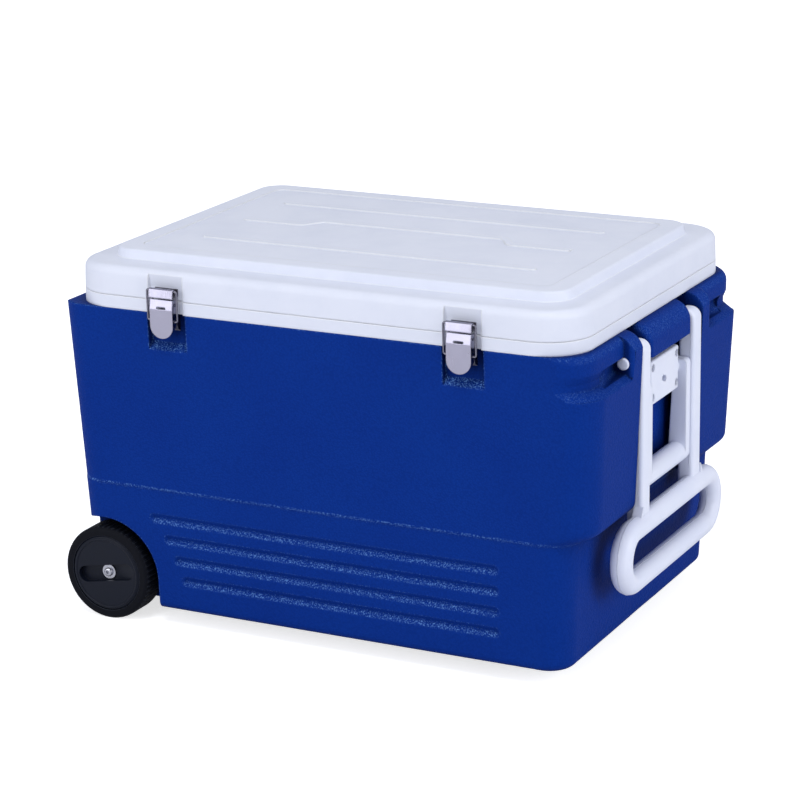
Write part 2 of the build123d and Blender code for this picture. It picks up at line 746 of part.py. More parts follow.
lid_shell = lid_form(0, lid_base)
lid_shell -= slab(panel_half_length, panel_half_depth, panel_corner_radius,
                  lid_top - panel_depth, lid_top + 1)
for rib in lid_ribs():
    lid_shell += rib
lid_shell -= lid_form(skin_wall, lid_base - 1)
strike_rivet_z = strike_top - strike_rivet_drop
for x in (-latch_x, latch_x):
    for side in strike_rivet_xs:
        lid_shell -= rod_y(rivet_radius + fit_gap, x + side, strike_rivet_z,
                           -rim_half_depth - 1, -rim_half_depth + notch_depth + skin_wall + 1)
for x in hinge_xs:
    for spot in hinge_screw_spots(x):
        lid_shell -= rod_y(hinge_screw_radius + fit_gap, spot, seam + hinge_plate_middle,
                           hinge_seat - skin_wall - 1, hinge_seat + 1)
save("lid_shell", lid_shell)

# lid liner: a flange inside the skirt, and a plug that drops into the cavity
flange_thickness = skin_wall + gasket_depth
flange_inset = skin_wall + bond_gap + flange_gap + skirt_draft * flange_thickness / skirt_height
flange = rim_form(flange_inset, lid_base, lid_base + flange_thickness)
plug_half_length = cavity_half_length - plug_gap
plug_half_depth = cavity_half_depth - plug_gap
plug_corner_radius = cavity_corner_radius - plug_gap


def plug_section(inset, z):
    return ring(plug_half_length - inset, plug_half_depth - inset, plug_corner_radius - inset, z)


plug = loft([plug_section(plug_taper, lid_base - plug_depth), plug_section(0, lid_base + 1)], ruled=True)
plug = fillet(plug.edges().group_by(Axis.Z)[0], plug_edge_radius)
hollow = extrude(plug_section(plug_taper + skin_wall, lid_base - plug_depth + skin_wall), plug_depth + far)
gasket_mid_length = (rim_half_length - notch_depth - skin_wall + plug_half_length) / 2 - 1
gasket_mid_depth = (rim_half_depth - notch_depth - skin_wall + plug_half_depth) / 2 - 1


def gasket_ring(grow, z0, z1):
    half = gasket_width / 2 + grow
    radius = (rim_corner_radius + plug_corner_radius) / 2
    outer = slab(gasket_mid_length + half, gasket_mid_depth + half, radius + half, z0, z1)
    inner = slab(gasket_mid_length - half, gasket_mid_depth - half, radius - half, z0 - 1, z1 + 1)
    return outer - inner


lid_liner = flange + plug - hollow
lid_liner -= gasket_ring(gasket_gap, lid_base - 1, lid_base + gasket_depth)
save("lid_liner", lid_liner)
save("lid_gasket", gasket_ring(0, lid_base - lid_gap + body_gap, lid_base + gasket_depth - gasket_gap))

lid_foam = lid_form(skin_wall + bond_gap, lid_base)
lid_foam -= slab(rim_half_length + 5, rim_half_depth + 5, rim_corner_radius,
                 lid_base - 5, lid_base + flange_thickness + bond_gap)
plug_floor = lid_base - plug_depth + skin_wall + bond_gap
lid_foam += extrude(plug_section(plug_taper + skin_wall + bond_gap, plug_floor),
                    lid_base + flange_thickness + 1 - plug_floor)
for x in (-latch_x, latch_x):
    for side in strike_rivet_xs:
        lid_foam -= rod_y(rivet_head_radius + clear_gap, x + side, strike_rivet_z,
                          -rim_half_depth, -hinge_seat + skin_wall + rivet_head + 1)
for x in hinge_xs:
    for spot in hinge_screw_spots(x):
        lid_foam -= rod_y(hinge_screw_radius + clear_gap, spot, seam + hinge_plate_middle,
                          hinge_seat - hinge_screw_length - 1, hinge_seat)
save("lid_foam", lid_foam)

# ---------------------------------------------------------------- hinges
hinge_axis_y = hardware_reach - hinge_knuckle_radius
middle_knuckle = hinge_width * 0.4


def hinge_leaf_form(x, side, knuckles):
    """One leaf: side is -1 for the body's leaf, below the seam, and +1 for the lid's, above it."""
    near = seam + side * hinge_leaf_clear
    out = seam + side * (hinge_leaf_clear + hinge_leaf_height)
    plate = block(x - hinge_width / 2, x + hinge_width / 2, hinge_seat, hinge_seat + hinge_leaf,
                  min(near, out), max(near, out))
    plate = fillet(plate.edges().filter_by(Axis.Y), 3.0)
    web = [(hinge_seat, near + side * 8), (hinge_seat, near), (hinge_seat + 1, near - side * 2),
           (hinge_axis_y - 1, seam - side * 1), (hinge_axis_y + 2, seam + side * 3.5),
           (hinge_seat + hinge_leaf, near + side * 8)]
    leaf = plate
    for x0, x1 in knuckles:
        leaf += cross_cut(web, x + x0, x + x1)
        leaf += rod_x(hinge_knuckle_radius, hinge_axis_y, seam, x + x0, x + x1)
    leaf -= rod_x(hinge_pin_radius + fit_gap, hinge_axis_y, seam, x - hinge_width, x + hinge_width)
    for spot in hinge_screw_spots(x):
        middle = seam + side * hinge_plate_middle
        leaf -= rod_y(hinge_screw_radius + fit_gap, spot, middle, hinge_seat - 1, hinge_seat + hinge_leaf + 1)
    return leaf


half_knuckle = middle_knuckle / 2
outer_knuckles = [(-hinge_width / 2, -half_knuckle - body_gap), (half_knuckle + body_gap, hinge_width / 2)]
save("hinge_body_leaves", *[hinge_leaf_form(x, -1, [(-half_knuckle, half_knuckle)]) for x in hinge_xs])
save("hinge_lid_leaves", *[hinge_leaf_form(x, 1, outer_knuckles) for x in hinge_xs])
pin_reach = hinge_width / 2 + 1
save("hinge_pins", *[rod_x(hinge_pin_radius, hinge_axis_y, seam, x - pin_reach, x + pin_reach)
                     for x in hinge_xs])


def hinge_screw(x, z):
    under_head = hinge_seat + hinge_leaf
    head = rod_y(hinge_screw_head, x, z, under_head, under_head + hinge_screw_head_height)
    head = fillet(head.edges().group_by(Axis.Y)[-1], hinge_screw_head_height * 0.6)
    return head + rod_y(hinge_screw_radius, x, z, hinge_seat - hinge_screw_length, under_head)


for name, side in (("hinge_body_screws", -1), ("hinge_lid_screws", 1)):
    save(name, *[hinge_screw(spot, seam + side * hinge_plate_middle)
                 for x in hinge_xs for spot in hinge_screw_spots(x)])

# ---------------------------------------------------------------- latches
lever_half = lever_width / 2
ear_outer = lever_half - sheet - body_gap
ear_inner = ear_outer - sheet


def latch_base(x):
    """Pressed channel riveted in the pocket, with two ears that hold the lever's pin."""
    back = -latch_floor
    plate = block(x - ear_outer, x + ear_outer, back - sheet, back, latch_ear_bottom, latch_base_top)
    outline = [(back, latch_ear_bottom), (back, latch_base_top), (-hinge_seat - sheet, shell_height),
               (-rim_half_depth - 1, lever_pivot_z + 1), (-lever_pivot_y, lever_pivot_z),
               (-lever_pivot_y - 1.5, lever_pivot_z - 3), (back - latch_ear_reach, latch_ear_bottom + 4)]
    base = plate
    for x0 in (x - ear_outer, x + ear_inner):
        base += cross_cut(outline, x0, x0 + sheet)
        base += rod_x(latch_eye_radius, -lever_pivot_y, lever_pivot_z, x0, x0 + sheet)
    base -= rod_x(latch_pin_radius + fit_gap, -lever_pivot_y, lever_pivot_z, x - lever_width, x + lever_width)
    for z in latch_rivet_heights:
        base -= rod_y(rivet_radius + fit_gap, x, z, back - sheet - 1, back + 1)
    return base


def latch_lever(x):
    """Pressed lever: a flat tongue with a rounded end, bent in at the top, between two flanges."""
    front = -hardware_reach
    outside = [(front, lever_bottom), (front, lever_bend), (front + lever_bend_back, lever_top),
               (-lever_back, lever_top), (-lever_back, lever_flange_bottom),
               (front + 2 * lever_rim, lever_rim_top), (front + lever_rim, lever_rim_top - 6),
               (front + lever_rim, lever_bottom)]
    inside = [(front + sheet, lever_bottom - 5), (front + sheet, lever_bend - 0.2),
              (front + sheet + lever_bend_back + 1.4, lever_top + 5), (-lever_back + 10, lever_top + 5),
              (-lever_back + 10, lever_bottom - 5)]
    lever = cross_cut(outside, x - lever_half, x + lever_half)
    lever -= cross_cut(inside, x - lever_half + sheet, x + lever_half - sheet)
    tongue = Plane.XZ.offset(lever_back - 10) * Pos(x, lever_bottom + lever_half) * Circle(lever_half)
    upper = block(x - lever_half, x + lever_half, front - 5, -lever_back + 10,
                  lever_bottom + lever_half, lever_top + 5)
    lever &= extrude(tongue, 30) + upper
    for y, z in ((lever_pivot_y, lever_pivot_z), (bail_pivot_y, bail_pivot_z)):
        lever -= rod_x(latch_pin_radius + fit_gap, -y, z, x - lever_width, x + lever_width)
    slot = Plane.XZ.offset(hardware_reach - 6) * Pos(x, lever_bend + 1.5) * SlotOverall(
        latch_slot_length, latch_slot_width)
    return lever - extrude(slot, 12)


def latch_bail(x):
    """Wire loop: a bar along the hook, two arms, and ends turned in through the lever's flanges."""
    arm = bail_half_width
    end = lever_half - sheet - bail_end_gap
    route = [(x - end, -bail_pivot_y, bail_pivot_z), (x - arm, -bail_pivot_y, bail_pivot_z),
             (x - arm, -bail_top_y, bail_top_z), (x + arm, -bail_top_y, bail_top_z),
             (x + arm, -bail_pivot_y, bail_pivot_z), (x + end, -bail_pivot_y, bail_pivot_z)]
    line = FilletPolyline(*route, radius=bail_bend)
    start = Plane(origin=route[0], z_dir=(-1, 0, 0))
    return sweep(start * Circle(bail_wire_radius), path=line)


def latch_hook(x):
    """Pressed hook plate rolled round the bail's bar."""
    inner = bail_wire_radius + fit_gap
    outer = inner + sheet
    roll = rod_x(outer, -bail_top_y, bail_top_z, x - hook_width / 2, x + hook_width / 2)
    roll -= block(x - hook_width, x + hook_width, -bail_top_y - 2 * outer, -bail_top_y + 2 * outer,
                  bail_top_z - 2 * outer, bail_top_z - 1)
    outline = [(-bail_top_y - inner, bail_top_z), (-bail_top_y - outer, bail_top_z),
               (-bail_top_y - outer - hook_lean, hook_bottom), (-bail_top_y - inner - hook_lean, hook_bottom)]
    face = cross_cut(outline, x - hook_width / 2, x + hook_width / 2)
    return roll + face - rod_x(inner, -bail_top_y, bail_top_z, x - hook_width, x + hook_width)


def latch_strike(x):
    """Keeper on the lid: a flange in the notch, a floor and an upturned lip behind the hook."""
    back = -hinge_seat
    lip = -bail_top_y + bail_wire_radius + fit_gap + sheet + body_gap
    half = strike_width / 2
    strike = block(x - half, x + half, back - sheet, back, strike_bottom, strike_top + 2)
    strike += block(x - half, x + half, lip, back, strike_bottom, strike_bottom + sheet)
    strike += block(x - half, x + half, lip, lip + sheet, strike_bottom, strike_top)
    for side in strike_rivet_xs:
        strike -= rod_y(rivet_radius + fit_gap, x + side, strike_rivet_z, back - sheet - 1, back + 1)
    return strike


def rivet(x, z, y_head, y_end):
    """A rivet along Y with a domed head towards the front and a plain head behind."""
    head = rod_y(rivet_head_radius, x, z, y_head - rivet_head, y_head)
    head = fillet(head.edges().group_by(Axis.Y)[0], rivet_head * 0.7)
    tail = rod_y(rivet_head_radius - 0.4, x, z, y_end, y_end + rivet_head)
    return head + rod_y(rivet_radius, x, z, y_head, y_end) + tail


for name, x in (("left", -latch_x), ("right", latch_x)):
    save(f"latch_base_{name}", latch_base(x))
    save(f"latch_rivets_{name}", *[rivet(x, z, -latch_floor - sheet, -latch_floor + shell_wall)
                                   for z in latch_rivet_heights])
    save(f"latch_pin_{name}", rod_x(latch_pin_radius, -lever_pivot_y, lever_pivot_z,
                                    x - lever_half - 0.8, x + lever_half + 0.8))
    save(f"latch_lever_{name}", latch_lever(x))
    save(f"latch_bail_{name}", latch_bail(x))
    save(f"latch_hook_{name}", latch_hook(x))
    save(f"latch_strike_{name}", latch_strike(x))
save("strike_rivets", *[rivet(x + side, strike_rivet_z, -hinge_seat - sheet, -hinge_seat + skin_wall)
                        for x in (-latch_x, latch_x) for side in strike_rivet_xs])

# ---------------------------------------------------------------- tow handle
def tow_handle():
    """Two rails that hang from the pins, moulded in one with the D-shaped loop below."""
    rail_back = rail_front - rail_depth
    outline = [(rail_back, loop_upper), (rail_back, rail_top),
               (rail_front, rail_top), (rail_front, loop_upper)]
    rail = side_cut(outline, -rail_outer, -rail_inner)
    tip_back, tip_front = rail.edges().filter_by(Axis.Y).group_by(Axis.Z)[-1].sort_by(Axis.X)
    rail = fillet(tip_front, rail_tip_radius)
    tip_back = rail.edges().filter_by(Axis.Y).filter_by(lambda edge: edge.center().Z > rail_top - 1
                                                        and edge.center().X < rail_back + 1)
    rail = fillet(tip_back, rail_tip_back_radius)
    rail = fillet(rail.faces().sort_by(Axis.X)[-1].edges().filter_by(Axis.Z), rail_edge_radius)
    handle = rail + mirror(rail, about=Plane.XZ)
    corner = (loop_upper - loop_lower) / 2 - 0.5
    route = Plane.YZ.offset(loop_x) * Pos(0, (loop_upper + loop_lower) / 2) * RectangleRounded(
        2 * loop_half_run, loop_upper - loop_lower, corner)
    wire = route.face().outer_wire()
    first = wire.edges().filter_by(Axis.Y).sort_by(Axis.Z)[-1]
    start = Plane(origin=first @ 0.5, z_dir=(0, 1, 0))
    handle += sweep(start * Circle(loop_tube_radius), path=wire)
    tube_top = loop_upper + loop_tube_radius
    for side in (-1, 1):
        outer = side * (rail_outer + gusset_width)
        web = [(side * (rail_outer - 1), tube_top + gusset_rise), (side * rail_outer, tube_top + gusset_rise),
               (outer, tube_top - 1), (outer, loop_upper), (side * (rail_outer - 1), loop_upper)]
        handle += cross_cut(web, loop_x - gusset_thickness / 2, loop_x + gusset_thickness / 2)
    return handle - rod_y(tow_pin_radius + fit_gap, tow_pivot_x, tow_pivot_z, -rail_outer - 1, rail_outer + 1)


save("tow_handle", tow_handle())
pin = rod_y(tow_pin_radius, tow_pivot_x, tow_pivot_z, -cheek_outer, -tow_pin_end)
pin_head = rod_y(tow_pin_head_radius, tow_pivot_x, tow_pivot_z, -cheek_outer - tow_pin_head, -cheek_outer)
pin_head = fillet(pin_head.edges().group_by(Axis.Y)[0], tow_pin_head * 0.6)
save("tow_pin_front", pin + pin_head)
save("tow_pin_rear", mirror(pin + pin_head, about=Plane.XZ))

# ---------------------------------------------------------------- carry handle and its bracket
carry_outer = rail_inner - carry_gap
carry_inner = carry_outer - carry_arm_width
knuckle_inner = bracket_half_width + body_gap + 0.2


def carry_handle():
    """U-shaped handle: a knuckle and an arm at each side, deeper towards the round grip."""
    outline = [(carry_front - carry_arm_depth_top, carry_arm_top), (carry_front, carry_arm_top),
               (carry_front, grip_height), (carry_front - carry_arm_depth_low, grip_height)]
    handle = rod_y(grip_radius, carry_front - grip_radius, grip_height, -carry_outer, carry_outer)
    for side in (-1, 1):
        arm = side_cut(outline, *sorted((side * carry_inner, side * carry_outer)))
        top_front = arm.edges().filter_by(Axis.Y).group_by(Axis.Z)[-1].sort_by(Axis.X)[-1]
        arm = fillet(top_front, carry_arm_corner)
        knuckle = rod_y(knuckle_radius, carry_pivot_x, carry_pivot_z,
                        *sorted((side * knuckle_inner, side * carry_outer)))
        handle += arm + knuckle
    return handle - rod_y(carry_pin_radius + fit_gap, carry_pivot_x, carry_pivot_z,
                          -carry_outer - 1, carry_outer + 1)


def carry_bracket():
    """Moulded bracket on the recess floor, bored for the carry handle's pin."""
    body = block(recess_floor, bracket_front, -bracket_half_width, bracket_half_width,
                 bracket_bottom, bracket_top)
    body = fillet(body.edges().filter_by(Axis.X), bracket_corner_radius)
    body = fillet(body.faces().sort_by(Axis.X)[-1].edges(), bracket_front_radius)
    body -= rod_y(carry_pin_radius + fit_gap, carry_pivot_x, carry_pivot_z, -bracket_half_width - 1,
                  bracket_half_width + 1)
    for y, z in bracket_screw_places:
        body -= rod_x(bracket_screw_head + clear_gap, y, z, bracket_screw_seat, bracket_front + 5)
        body -= rod_x(bracket_screw_radius + fit_gap, y, z, recess_floor - 1, bracket_front)
    keyhole = Plane.YZ.offset(bracket_front - keyhole_depth) * Pos(keyhole_y, keyhole_z) * SlotOverall(
        keyhole_length, keyhole_width, rotation=keyhole_turn)
    return body - extrude(keyhole, 2 * keyhole_depth)


save("carry_handle", carry_handle())
save("carry_bracket", carry_bracket())
save("carry_pin", rod_y(carry_pin_radius, carry_pivot_x, carry_pivot_z, -carry_outer, carry_outer))


def bracket_screw(y, z):
    head = rod_x(bracket_screw_head, y, z, bracket_screw_seat, bracket_front - bracket_screw_sunk)
    return head + rod_x(bracket_screw_radius, y, z, bracket_front - bracket_screw_length, bracket_screw_seat)


save("bracket_screws", *[bracket_screw(y, z) for y, z in bracket_screw_places])

# ---------------------------------------------------------------- axle and wheels
slot_floor = wheel_face - hub_slot_depth
axle_end = slot_floor + body_gap
save("axle", rod_y(axle_radius, wheel_x, wheel_z, -axle_end, axle_end)
     - rod_y(axle_screw_radius + fit_gap, wheel_x, wheel_z, -axle_end - 1, -axle_end + axle_screw_length)
     - rod_y(axle_screw_radius + fit_gap, wheel_x, wheel_z, axle_end - axle_screw_length, axle_end + 1))
wheel_plane = Plane.XZ.offset(wheel_face - wheel_width)         # inner face of the front wheel


def wheel_disc():
    """Front wheel body: a face with a slot across it for the axle screw, ribbed and open behind."""
    rim_radius = wheel_radius - tyre_thickness
    depth = wheel_width - hub_slot_depth - wheel_face_thickness
    disc = extrude(wheel_plane * Pos(wheel_x, wheel_z) * Circle(rim_radius), wheel_width)
    disc = fillet(disc.edges().group_by(Axis.Y)[0], 3.0)
    hollow = extrude(wheel_plane * Pos(wheel_x, wheel_z) * Circle(rim_radius - wheel_shell), depth)
    hollow -= extrude(wheel_plane * Pos(wheel_x, wheel_z) * Circle(axle_radius + bush_wall + hub_wall), depth)
    for turn in range(0, 180, 45):
        spoke = Rot(0, 0, turn) * Rectangle(2 * rim_radius - wheel_shell, wheel_spoke)
        hollow -= extrude(wheel_plane * Pos(wheel_x, wheel_z) * spoke, depth)
    disc -= hollow
    face = wheel_plane.offset(wheel_width) * Pos(wheel_x, wheel_z)
    slot_outline = SlotOverall(hub_slot_length, hub_slot_width, rotation=hub_slot_turn)
    slot = extrude(face * slot_outline, -hub_slot_depth)
    ramp = [(hub_ramp_start, -hub_slot_depth - 1), (hub_ramp_start, -hub_slot_depth),
            (hub_slot_length / 2, -1), (hub_slot_length / 2 + 1, -hub_slot_depth - 1)]
    slot -= face * Rot(0, 0, hub_slot_turn) * side_cut(ramp, -hub_slot_width, hub_slot_width)
    disc -= slot
    return disc - rod_y(axle_radius + bush_wall + fit_gap, wheel_x, wheel_z,
                        -wheel_face - 1, -wheel_face + wheel_width + 1)


def tyre():
    """Moulded tread band with cross grooves."""
    outer = extrude(wheel_plane * Pos(wheel_x, wheel_z) * Circle(wheel_radius), wheel_width)
    outer = fillet(outer.edges(), tread_edge_radius)
    cuts = []
    for index in range(tread_grooves):
        angle = 360 * (index + 0.5) / tread_grooves
        cuts.append(wheel_plane * Pos(wheel_x, wheel_z) * Rot(0, 0, angle) * Pos(wheel_radius, 0)
                    * Rectangle(2 * tread_groove_depth, tread_groove_width))
    outer -= [extrude(cut, wheel_width) for cut in cuts]
    return outer - rod_y(wheel_radius - tyre_thickness, wheel_x, wheel_z,
                         -wheel_face - 1, -wheel_face + wheel_width + 1)


def bush():
    tube = rod_y(axle_radius + bush_wall, wheel_x, wheel_z, -slot_floor, -arch_wall - body_gap)
    return tube - rod_y(axle_radius + fit_gap, wheel_x, wheel_z, -wheel_face - 1, -arch_wall)


def axle_screw():
    seat = -axle_end - washer_thickness
    head = rod_y(axle_screw_head_radius, wheel_x, wheel_z, seat - axle_screw_head, seat)
    head = fillet(head.edges().group_by(Axis.Y)[0], axle_screw_head_round)
    return head + rod_y(axle_screw_radius, wheel_x, wheel_z, seat, -axle_end + axle_screw_length - 1)


washer = rod_y(washer_radius, wheel_x, wheel_z, -axle_end - washer_thickness, -axle_end)
washer -= rod_y(axle_screw_radius + 0.3, wheel_x, wheel_z, -axle_end - 5, -axle_end + 5)
for name, shape in (("wheel", wheel_disc()), ("tyre", tyre()), ("wheel_bush", bush())):
    save(f"{name}_front", shape)
    save(f"{name}_rear", mirror(shape, about=Plane.XZ))
save("axle_washers", *both_sides(washer))
save("axle_screws", *both_sides(axle_screw()))

# ---------------------------------------------------------------- feet
def foot(y):
    top = Pos(foot_x, y) * RectangleRounded(foot_length, foot_width, foot_corner_radius)
    base = Plane.XY.offset(-ground_clearance) * Pos(foot_x, y) * RectangleRounded(
        foot_length - foot_taper, foot_width - foot_taper, foot_corner_radius - 1)
    pad = loft([base, top], ruled=True)
    pad = fillet(pad.edges().group_by(Axis.Z)[0], 2.0)
    pad -= rod_z(foot_screw_head + clear_gap, foot_x, y,
                 -ground_clearance - 1, foot_screw_recess - ground_clearance)
    return pad - rod_z(foot_screw_radius + fit_gap, foot_x, y, -ground_clearance, 1)


def foot_screw(y):
    seat = foot_screw_recess - ground_clearance
    head = rod_z(foot_screw_head, foot_x, y, seat - foot_screw_head_height, seat)
    return head + rod_z(foot_screw_radius, foot_x, y, seat, seat + foot_screw_length)


save("foot_front", foot(-foot_y))
save("foot_rear", foot(foot_y))
save("foot_screws", foot_screw(-foot_y), foot_screw(foot_y))

# ---------------------------------------------------------------- drain
drain_inner_x = drain_liner_x - drain_end_gap
drain_face = drain_seat_x - drain_flange_thickness
neck_end = drain_face - drain_neck_length
spigot = rod_x(drain_tube, 0, drain_height, drain_seat_x, drain_inner_x)
spigot += rod_x(drain_flange, 0, drain_height, drain_face, drain_seat_x)
spigot += rod_x(drain_neck, 0, drain_height, neck_end, drain_seat_x)
spigot -= rod_x(drain_bore, 0, drain_height, neck_end - 1, drain_inner_x + 1)
save("drain_spigot", spigot)


def drain_cap():
    """Cap pushed over the neck, with grip ribs round it."""
    inner = drain_neck + drain_cap_gap
    outer = inner + drain_cap_wall
    closed_end = neck_end - drain_washer_thickness
    cap = rod_x(outer, 0, drain_height, closed_end - drain_cap_end, drain_face - body_gap)
    cap = fillet(cap.edges().group_by(Axis.X)[0], drain_cap_end / 2)
    for index in range(drain_cap_ribs):
        angle = math.radians(360 * index / drain_cap_ribs)
        cap += rod_x(drain_cap_rib_radius, outer * math.cos(angle), drain_height + outer * math.sin(angle),
                     closed_end - 1, drain_face - body_gap)
    return cap - rod_x(inner, 0, drain_height, closed_end, drain_face)


save("drain_cap", drain_cap())
seal = rod_x(drain_neck, 0, drain_height, neck_end - drain_washer_thickness, neck_end)
save("drain_seal", seal)
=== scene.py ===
"""Looks of a wheeled insulated cool box: blue moulded body, white lid, steel draw latches, white
tow and carry handles, and black wheels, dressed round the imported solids. Lengths are in metres."""
import math

import bmesh
import bpy
from mathutils import Matrix, Vector


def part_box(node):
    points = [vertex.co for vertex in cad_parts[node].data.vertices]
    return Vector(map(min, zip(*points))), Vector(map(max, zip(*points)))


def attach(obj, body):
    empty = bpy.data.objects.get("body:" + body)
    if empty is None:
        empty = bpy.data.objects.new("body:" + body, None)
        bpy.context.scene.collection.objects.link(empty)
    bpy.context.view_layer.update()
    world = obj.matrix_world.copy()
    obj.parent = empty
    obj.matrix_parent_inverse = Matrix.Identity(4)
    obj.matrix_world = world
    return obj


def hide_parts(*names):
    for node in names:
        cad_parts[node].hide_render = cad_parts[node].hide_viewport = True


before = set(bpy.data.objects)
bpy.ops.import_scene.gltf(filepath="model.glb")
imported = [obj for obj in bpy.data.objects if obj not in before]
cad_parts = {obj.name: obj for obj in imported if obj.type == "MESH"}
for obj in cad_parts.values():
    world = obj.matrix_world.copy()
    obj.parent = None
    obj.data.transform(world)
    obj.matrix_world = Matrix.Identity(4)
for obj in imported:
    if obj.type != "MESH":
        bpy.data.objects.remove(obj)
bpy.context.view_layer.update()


# ------------------------------------------------------------------ studio
# A wide pale floor under a white surround, with a low broad light in front, a smaller one high
# up that makes the moulded grain sparkle, one at the handle end, and a weak low one behind.
def hex_colour(code):
    """Linear RGBA of an sRGB hex value."""
    channels = [int(code[place:place + 2], 16) / 255 for place in (0, 2, 4)]
    return [c / 12.92 if c <= 0.04045 else ((c + 0.055) / 1.055) ** 2.4 for c in channels] + [1.0]


def add_node(tree, kind, settings=None, inputs=None):
    """Adds a node, sets its options, and fills or links its inputs by name or number."""
    made = tree.nodes.new(kind)
    for name, value in (settings or {}).items():
        setattr(made, name, value)
    for name, value in (inputs or {}).items():
        if isinstance(value, bpy.types.NodeSocket):
            tree.links.new(value, made.inputs[name])
        else:
            made.inputs[name].default_value = value
    return made


def new_material(name):
    """An empty node material and its output node."""
    made = bpy.data.materials.new(name)
    made.use_nodes = True
    made.node_tree.nodes.clear()
    return made, made.node_tree, add_node(made.node_tree, "ShaderNodeOutputMaterial")


aim_height = 0.25               # about the middle of the box


def light_panel(name, turn, rise, distance, width, height, power):
    """A rectangular soft light that faces the object from a compass turn and a rise, in degrees."""
    aim = Vector((0.0, 0.0, aim_height))
    turn, rise = math.radians(turn), math.radians(rise)
    away = Vector((math.sin(turn) * math.cos(rise), -math.cos(turn) * math.cos(rise), math.sin(rise)))
    lamp = bpy.data.lights.new(name, "AREA")
    lamp.shape = "RECTANGLE"
    lamp.size = width
    lamp.size_y = height
    lamp.energy = power
    holder = bpy.data.objects.new(name, lamp)
    scene.collection.objects.link(holder)
    holder.location = aim + away * distance
    holder.rotation_mode = "QUATERNION"
    holder.rotation_quaternion = (-away).to_track_quat("-Z", "Y")
    return holder


scene = bpy.context.scene
scene.view_settings.view_transform = "Standard"

floor_radius = 14.0
floor_rings = 4
floor_around = 64
floor_points = [(0.0, 0.0, 0.0)]
floor_faces = []
for ring in range(floor_rings):
    reach = floor_radius * (ring + 1) / floor_rings
    for i in range(floor_around):
        turn = 2 * math.pi * i / floor_around
        floor_points.append((reach * math.cos(turn), reach * math.sin(turn), 0.0))
        here = 1 + ring * floor_around + i
        beside = 1 + ring * floor_around + (i + 1) % floor_around
        if ring == 0:
            floor_faces.append((0, here, beside))
        else:
            floor_faces.append((here - floor_around, here, beside, beside - floor_around))
floor_mesh = bpy.data.meshes.new("studio_floor")
floor_mesh.from_pydata(floor_points, [], floor_faces)
floor = bpy.data.objects.new("studio_floor", floor_mesh)
scene.collection.objects.link(floor)

# Matt paper. It is white to the camera's own rays only, so that the glow puts no light on the box,
# and polished steel sees a part of it.
paper_glow = 0.68
paper_glow_in_steel = 0.2
paper, tree, output = new_material("matt_floor_paper")
light_path = add_node(tree, "ShaderNodeLightPath")
mirrored = add_node(tree, "ShaderNodeMath", {"operation": "MULTIPLY"},
                    {0: light_path.outputs["Is Glossy Ray"], 1: paper_glow_in_steel})
seen = add_node(tree, "ShaderNodeMath", {"operation": "MAXIMUM"},
                {0: light_path.outputs["Is Camera Ray"], 1: mirrored.outputs[0]})
glow_strength = add_node(tree, "ShaderNodeMath", {"operation": "MULTIPLY"},
                         {0: seen.outputs[0], 1: paper_glow})
glow = add_node(tree, "ShaderNodeEmission", {},
                {"Color": hex_colour("ffffff"), "Strength": glow_strength.outputs[0]})
matt = add_node(tree, "ShaderNodeBsdfDiffuse", {}, {"Color": hex_colour("eeeef0"), "Roughness": 0.6})
lit_paper = add_node(tree, "ShaderNodeAddShader", {}, {0: matt.outputs[0], 1: glow.outputs[0]})
tree.links.new(lit_paper.outputs[0], output.inputs["Surface"])
floor_mesh.materials.append(paper)

surround_light = 0.52
surround = bpy.data.worlds.new("surround")
surround.use_nodes = True
tree = surround.node_tree
tree.nodes.clear()
light_path = add_node(tree, "ShaderNodeLightPath")
even_light = add_node(tree, "ShaderNodeBackground", {},
                      {"Color": hex_colour("f0f4ff"), "Strength": surround_light})
white_wall = add_node(tree, "ShaderNodeBackground", {}, {"Color": hex_colour("ffffff"), "Strength": 1.0})
around_box = add_node(tree, "ShaderNodeMixShader", {},
                      {0: light_path.outputs["Is Camera Ray"], 1: even_light.outputs[0],
                       2: white_wall.outputs[0]})
add_node(tree, "ShaderNodeOutputWorld", {}, {"Surface": around_box.outputs[0]})
scene.world = surround

light_panel("front_softbox", turn=-27.0, rise=15.0, distance=3.2, width=2.4, height=2.1, power=27.2)
light_panel("high_key", turn=12.0, rise=60.0, distance=3.0, width=0.9, height=0.9, power=23.0)
light_panel("end_softbox", turn=85.0, rise=20.0, distance=3.2, width=2.0, height=1.7, power=35.0)
light_panel("rear_fill", turn=205.0, rise=4.0, distance=3.2, width=2.0, height=1.7, power=8.0)

# ------------------------------------------------------------------ camera
# A long lens from a little above the lid, to the right of the front.
camera_turn = math.radians(27.11)
camera_rise = math.radians(16.42)
camera_roll = math.radians(-1.05)
camera_place = Vector((1.4503, -2.8502, 1.1890))
back = Vector((math.sin(camera_turn) * math.cos(camera_rise),
               -math.cos(camera_turn) * math.cos(camera_rise), math.sin(camera_rise)))
right = Vector((0.0, 0.0, 1.0)).cross(back).normalized()
up = back.cross(right)
rolled_right = right * math.cos(camera_roll) + up * math.sin(camera_roll)
rolled_up = up * math.cos(camera_roll) - right * math.sin(camera_roll)
lens = bpy.data.cameras.new("long_lens")
lens.lens = 124.98
lens.sensor_width = 36.0
camera = bpy.data.objects.new("camera", lens)
scene.collection.objects.link(camera)
camera_axes = Matrix((rolled_right, rolled_up, back)).transposed().to_4x4()
camera.matrix_world = Matrix.Translation(camera_place) @ camera_axes
scene.camera = camera


# ------------------------------------------------------------------ body shell
# The body is blow-moulded polyethylene, coloured right through. Its pebbled skin comes from the
# sand-blasted mould and is matt on the flats. Pale specks on up-facing slopes, edges and the ledge's
# lip are painted highlights of the grain's sparkle, and on the edges they stand for scuffs too;
# pockets and corners get painted shade.
def dress(names, material):
    """Gives CAD nodes a material."""
    for name in names:
        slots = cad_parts[name].data.materials
        slots.clear()
        slots.append(material)


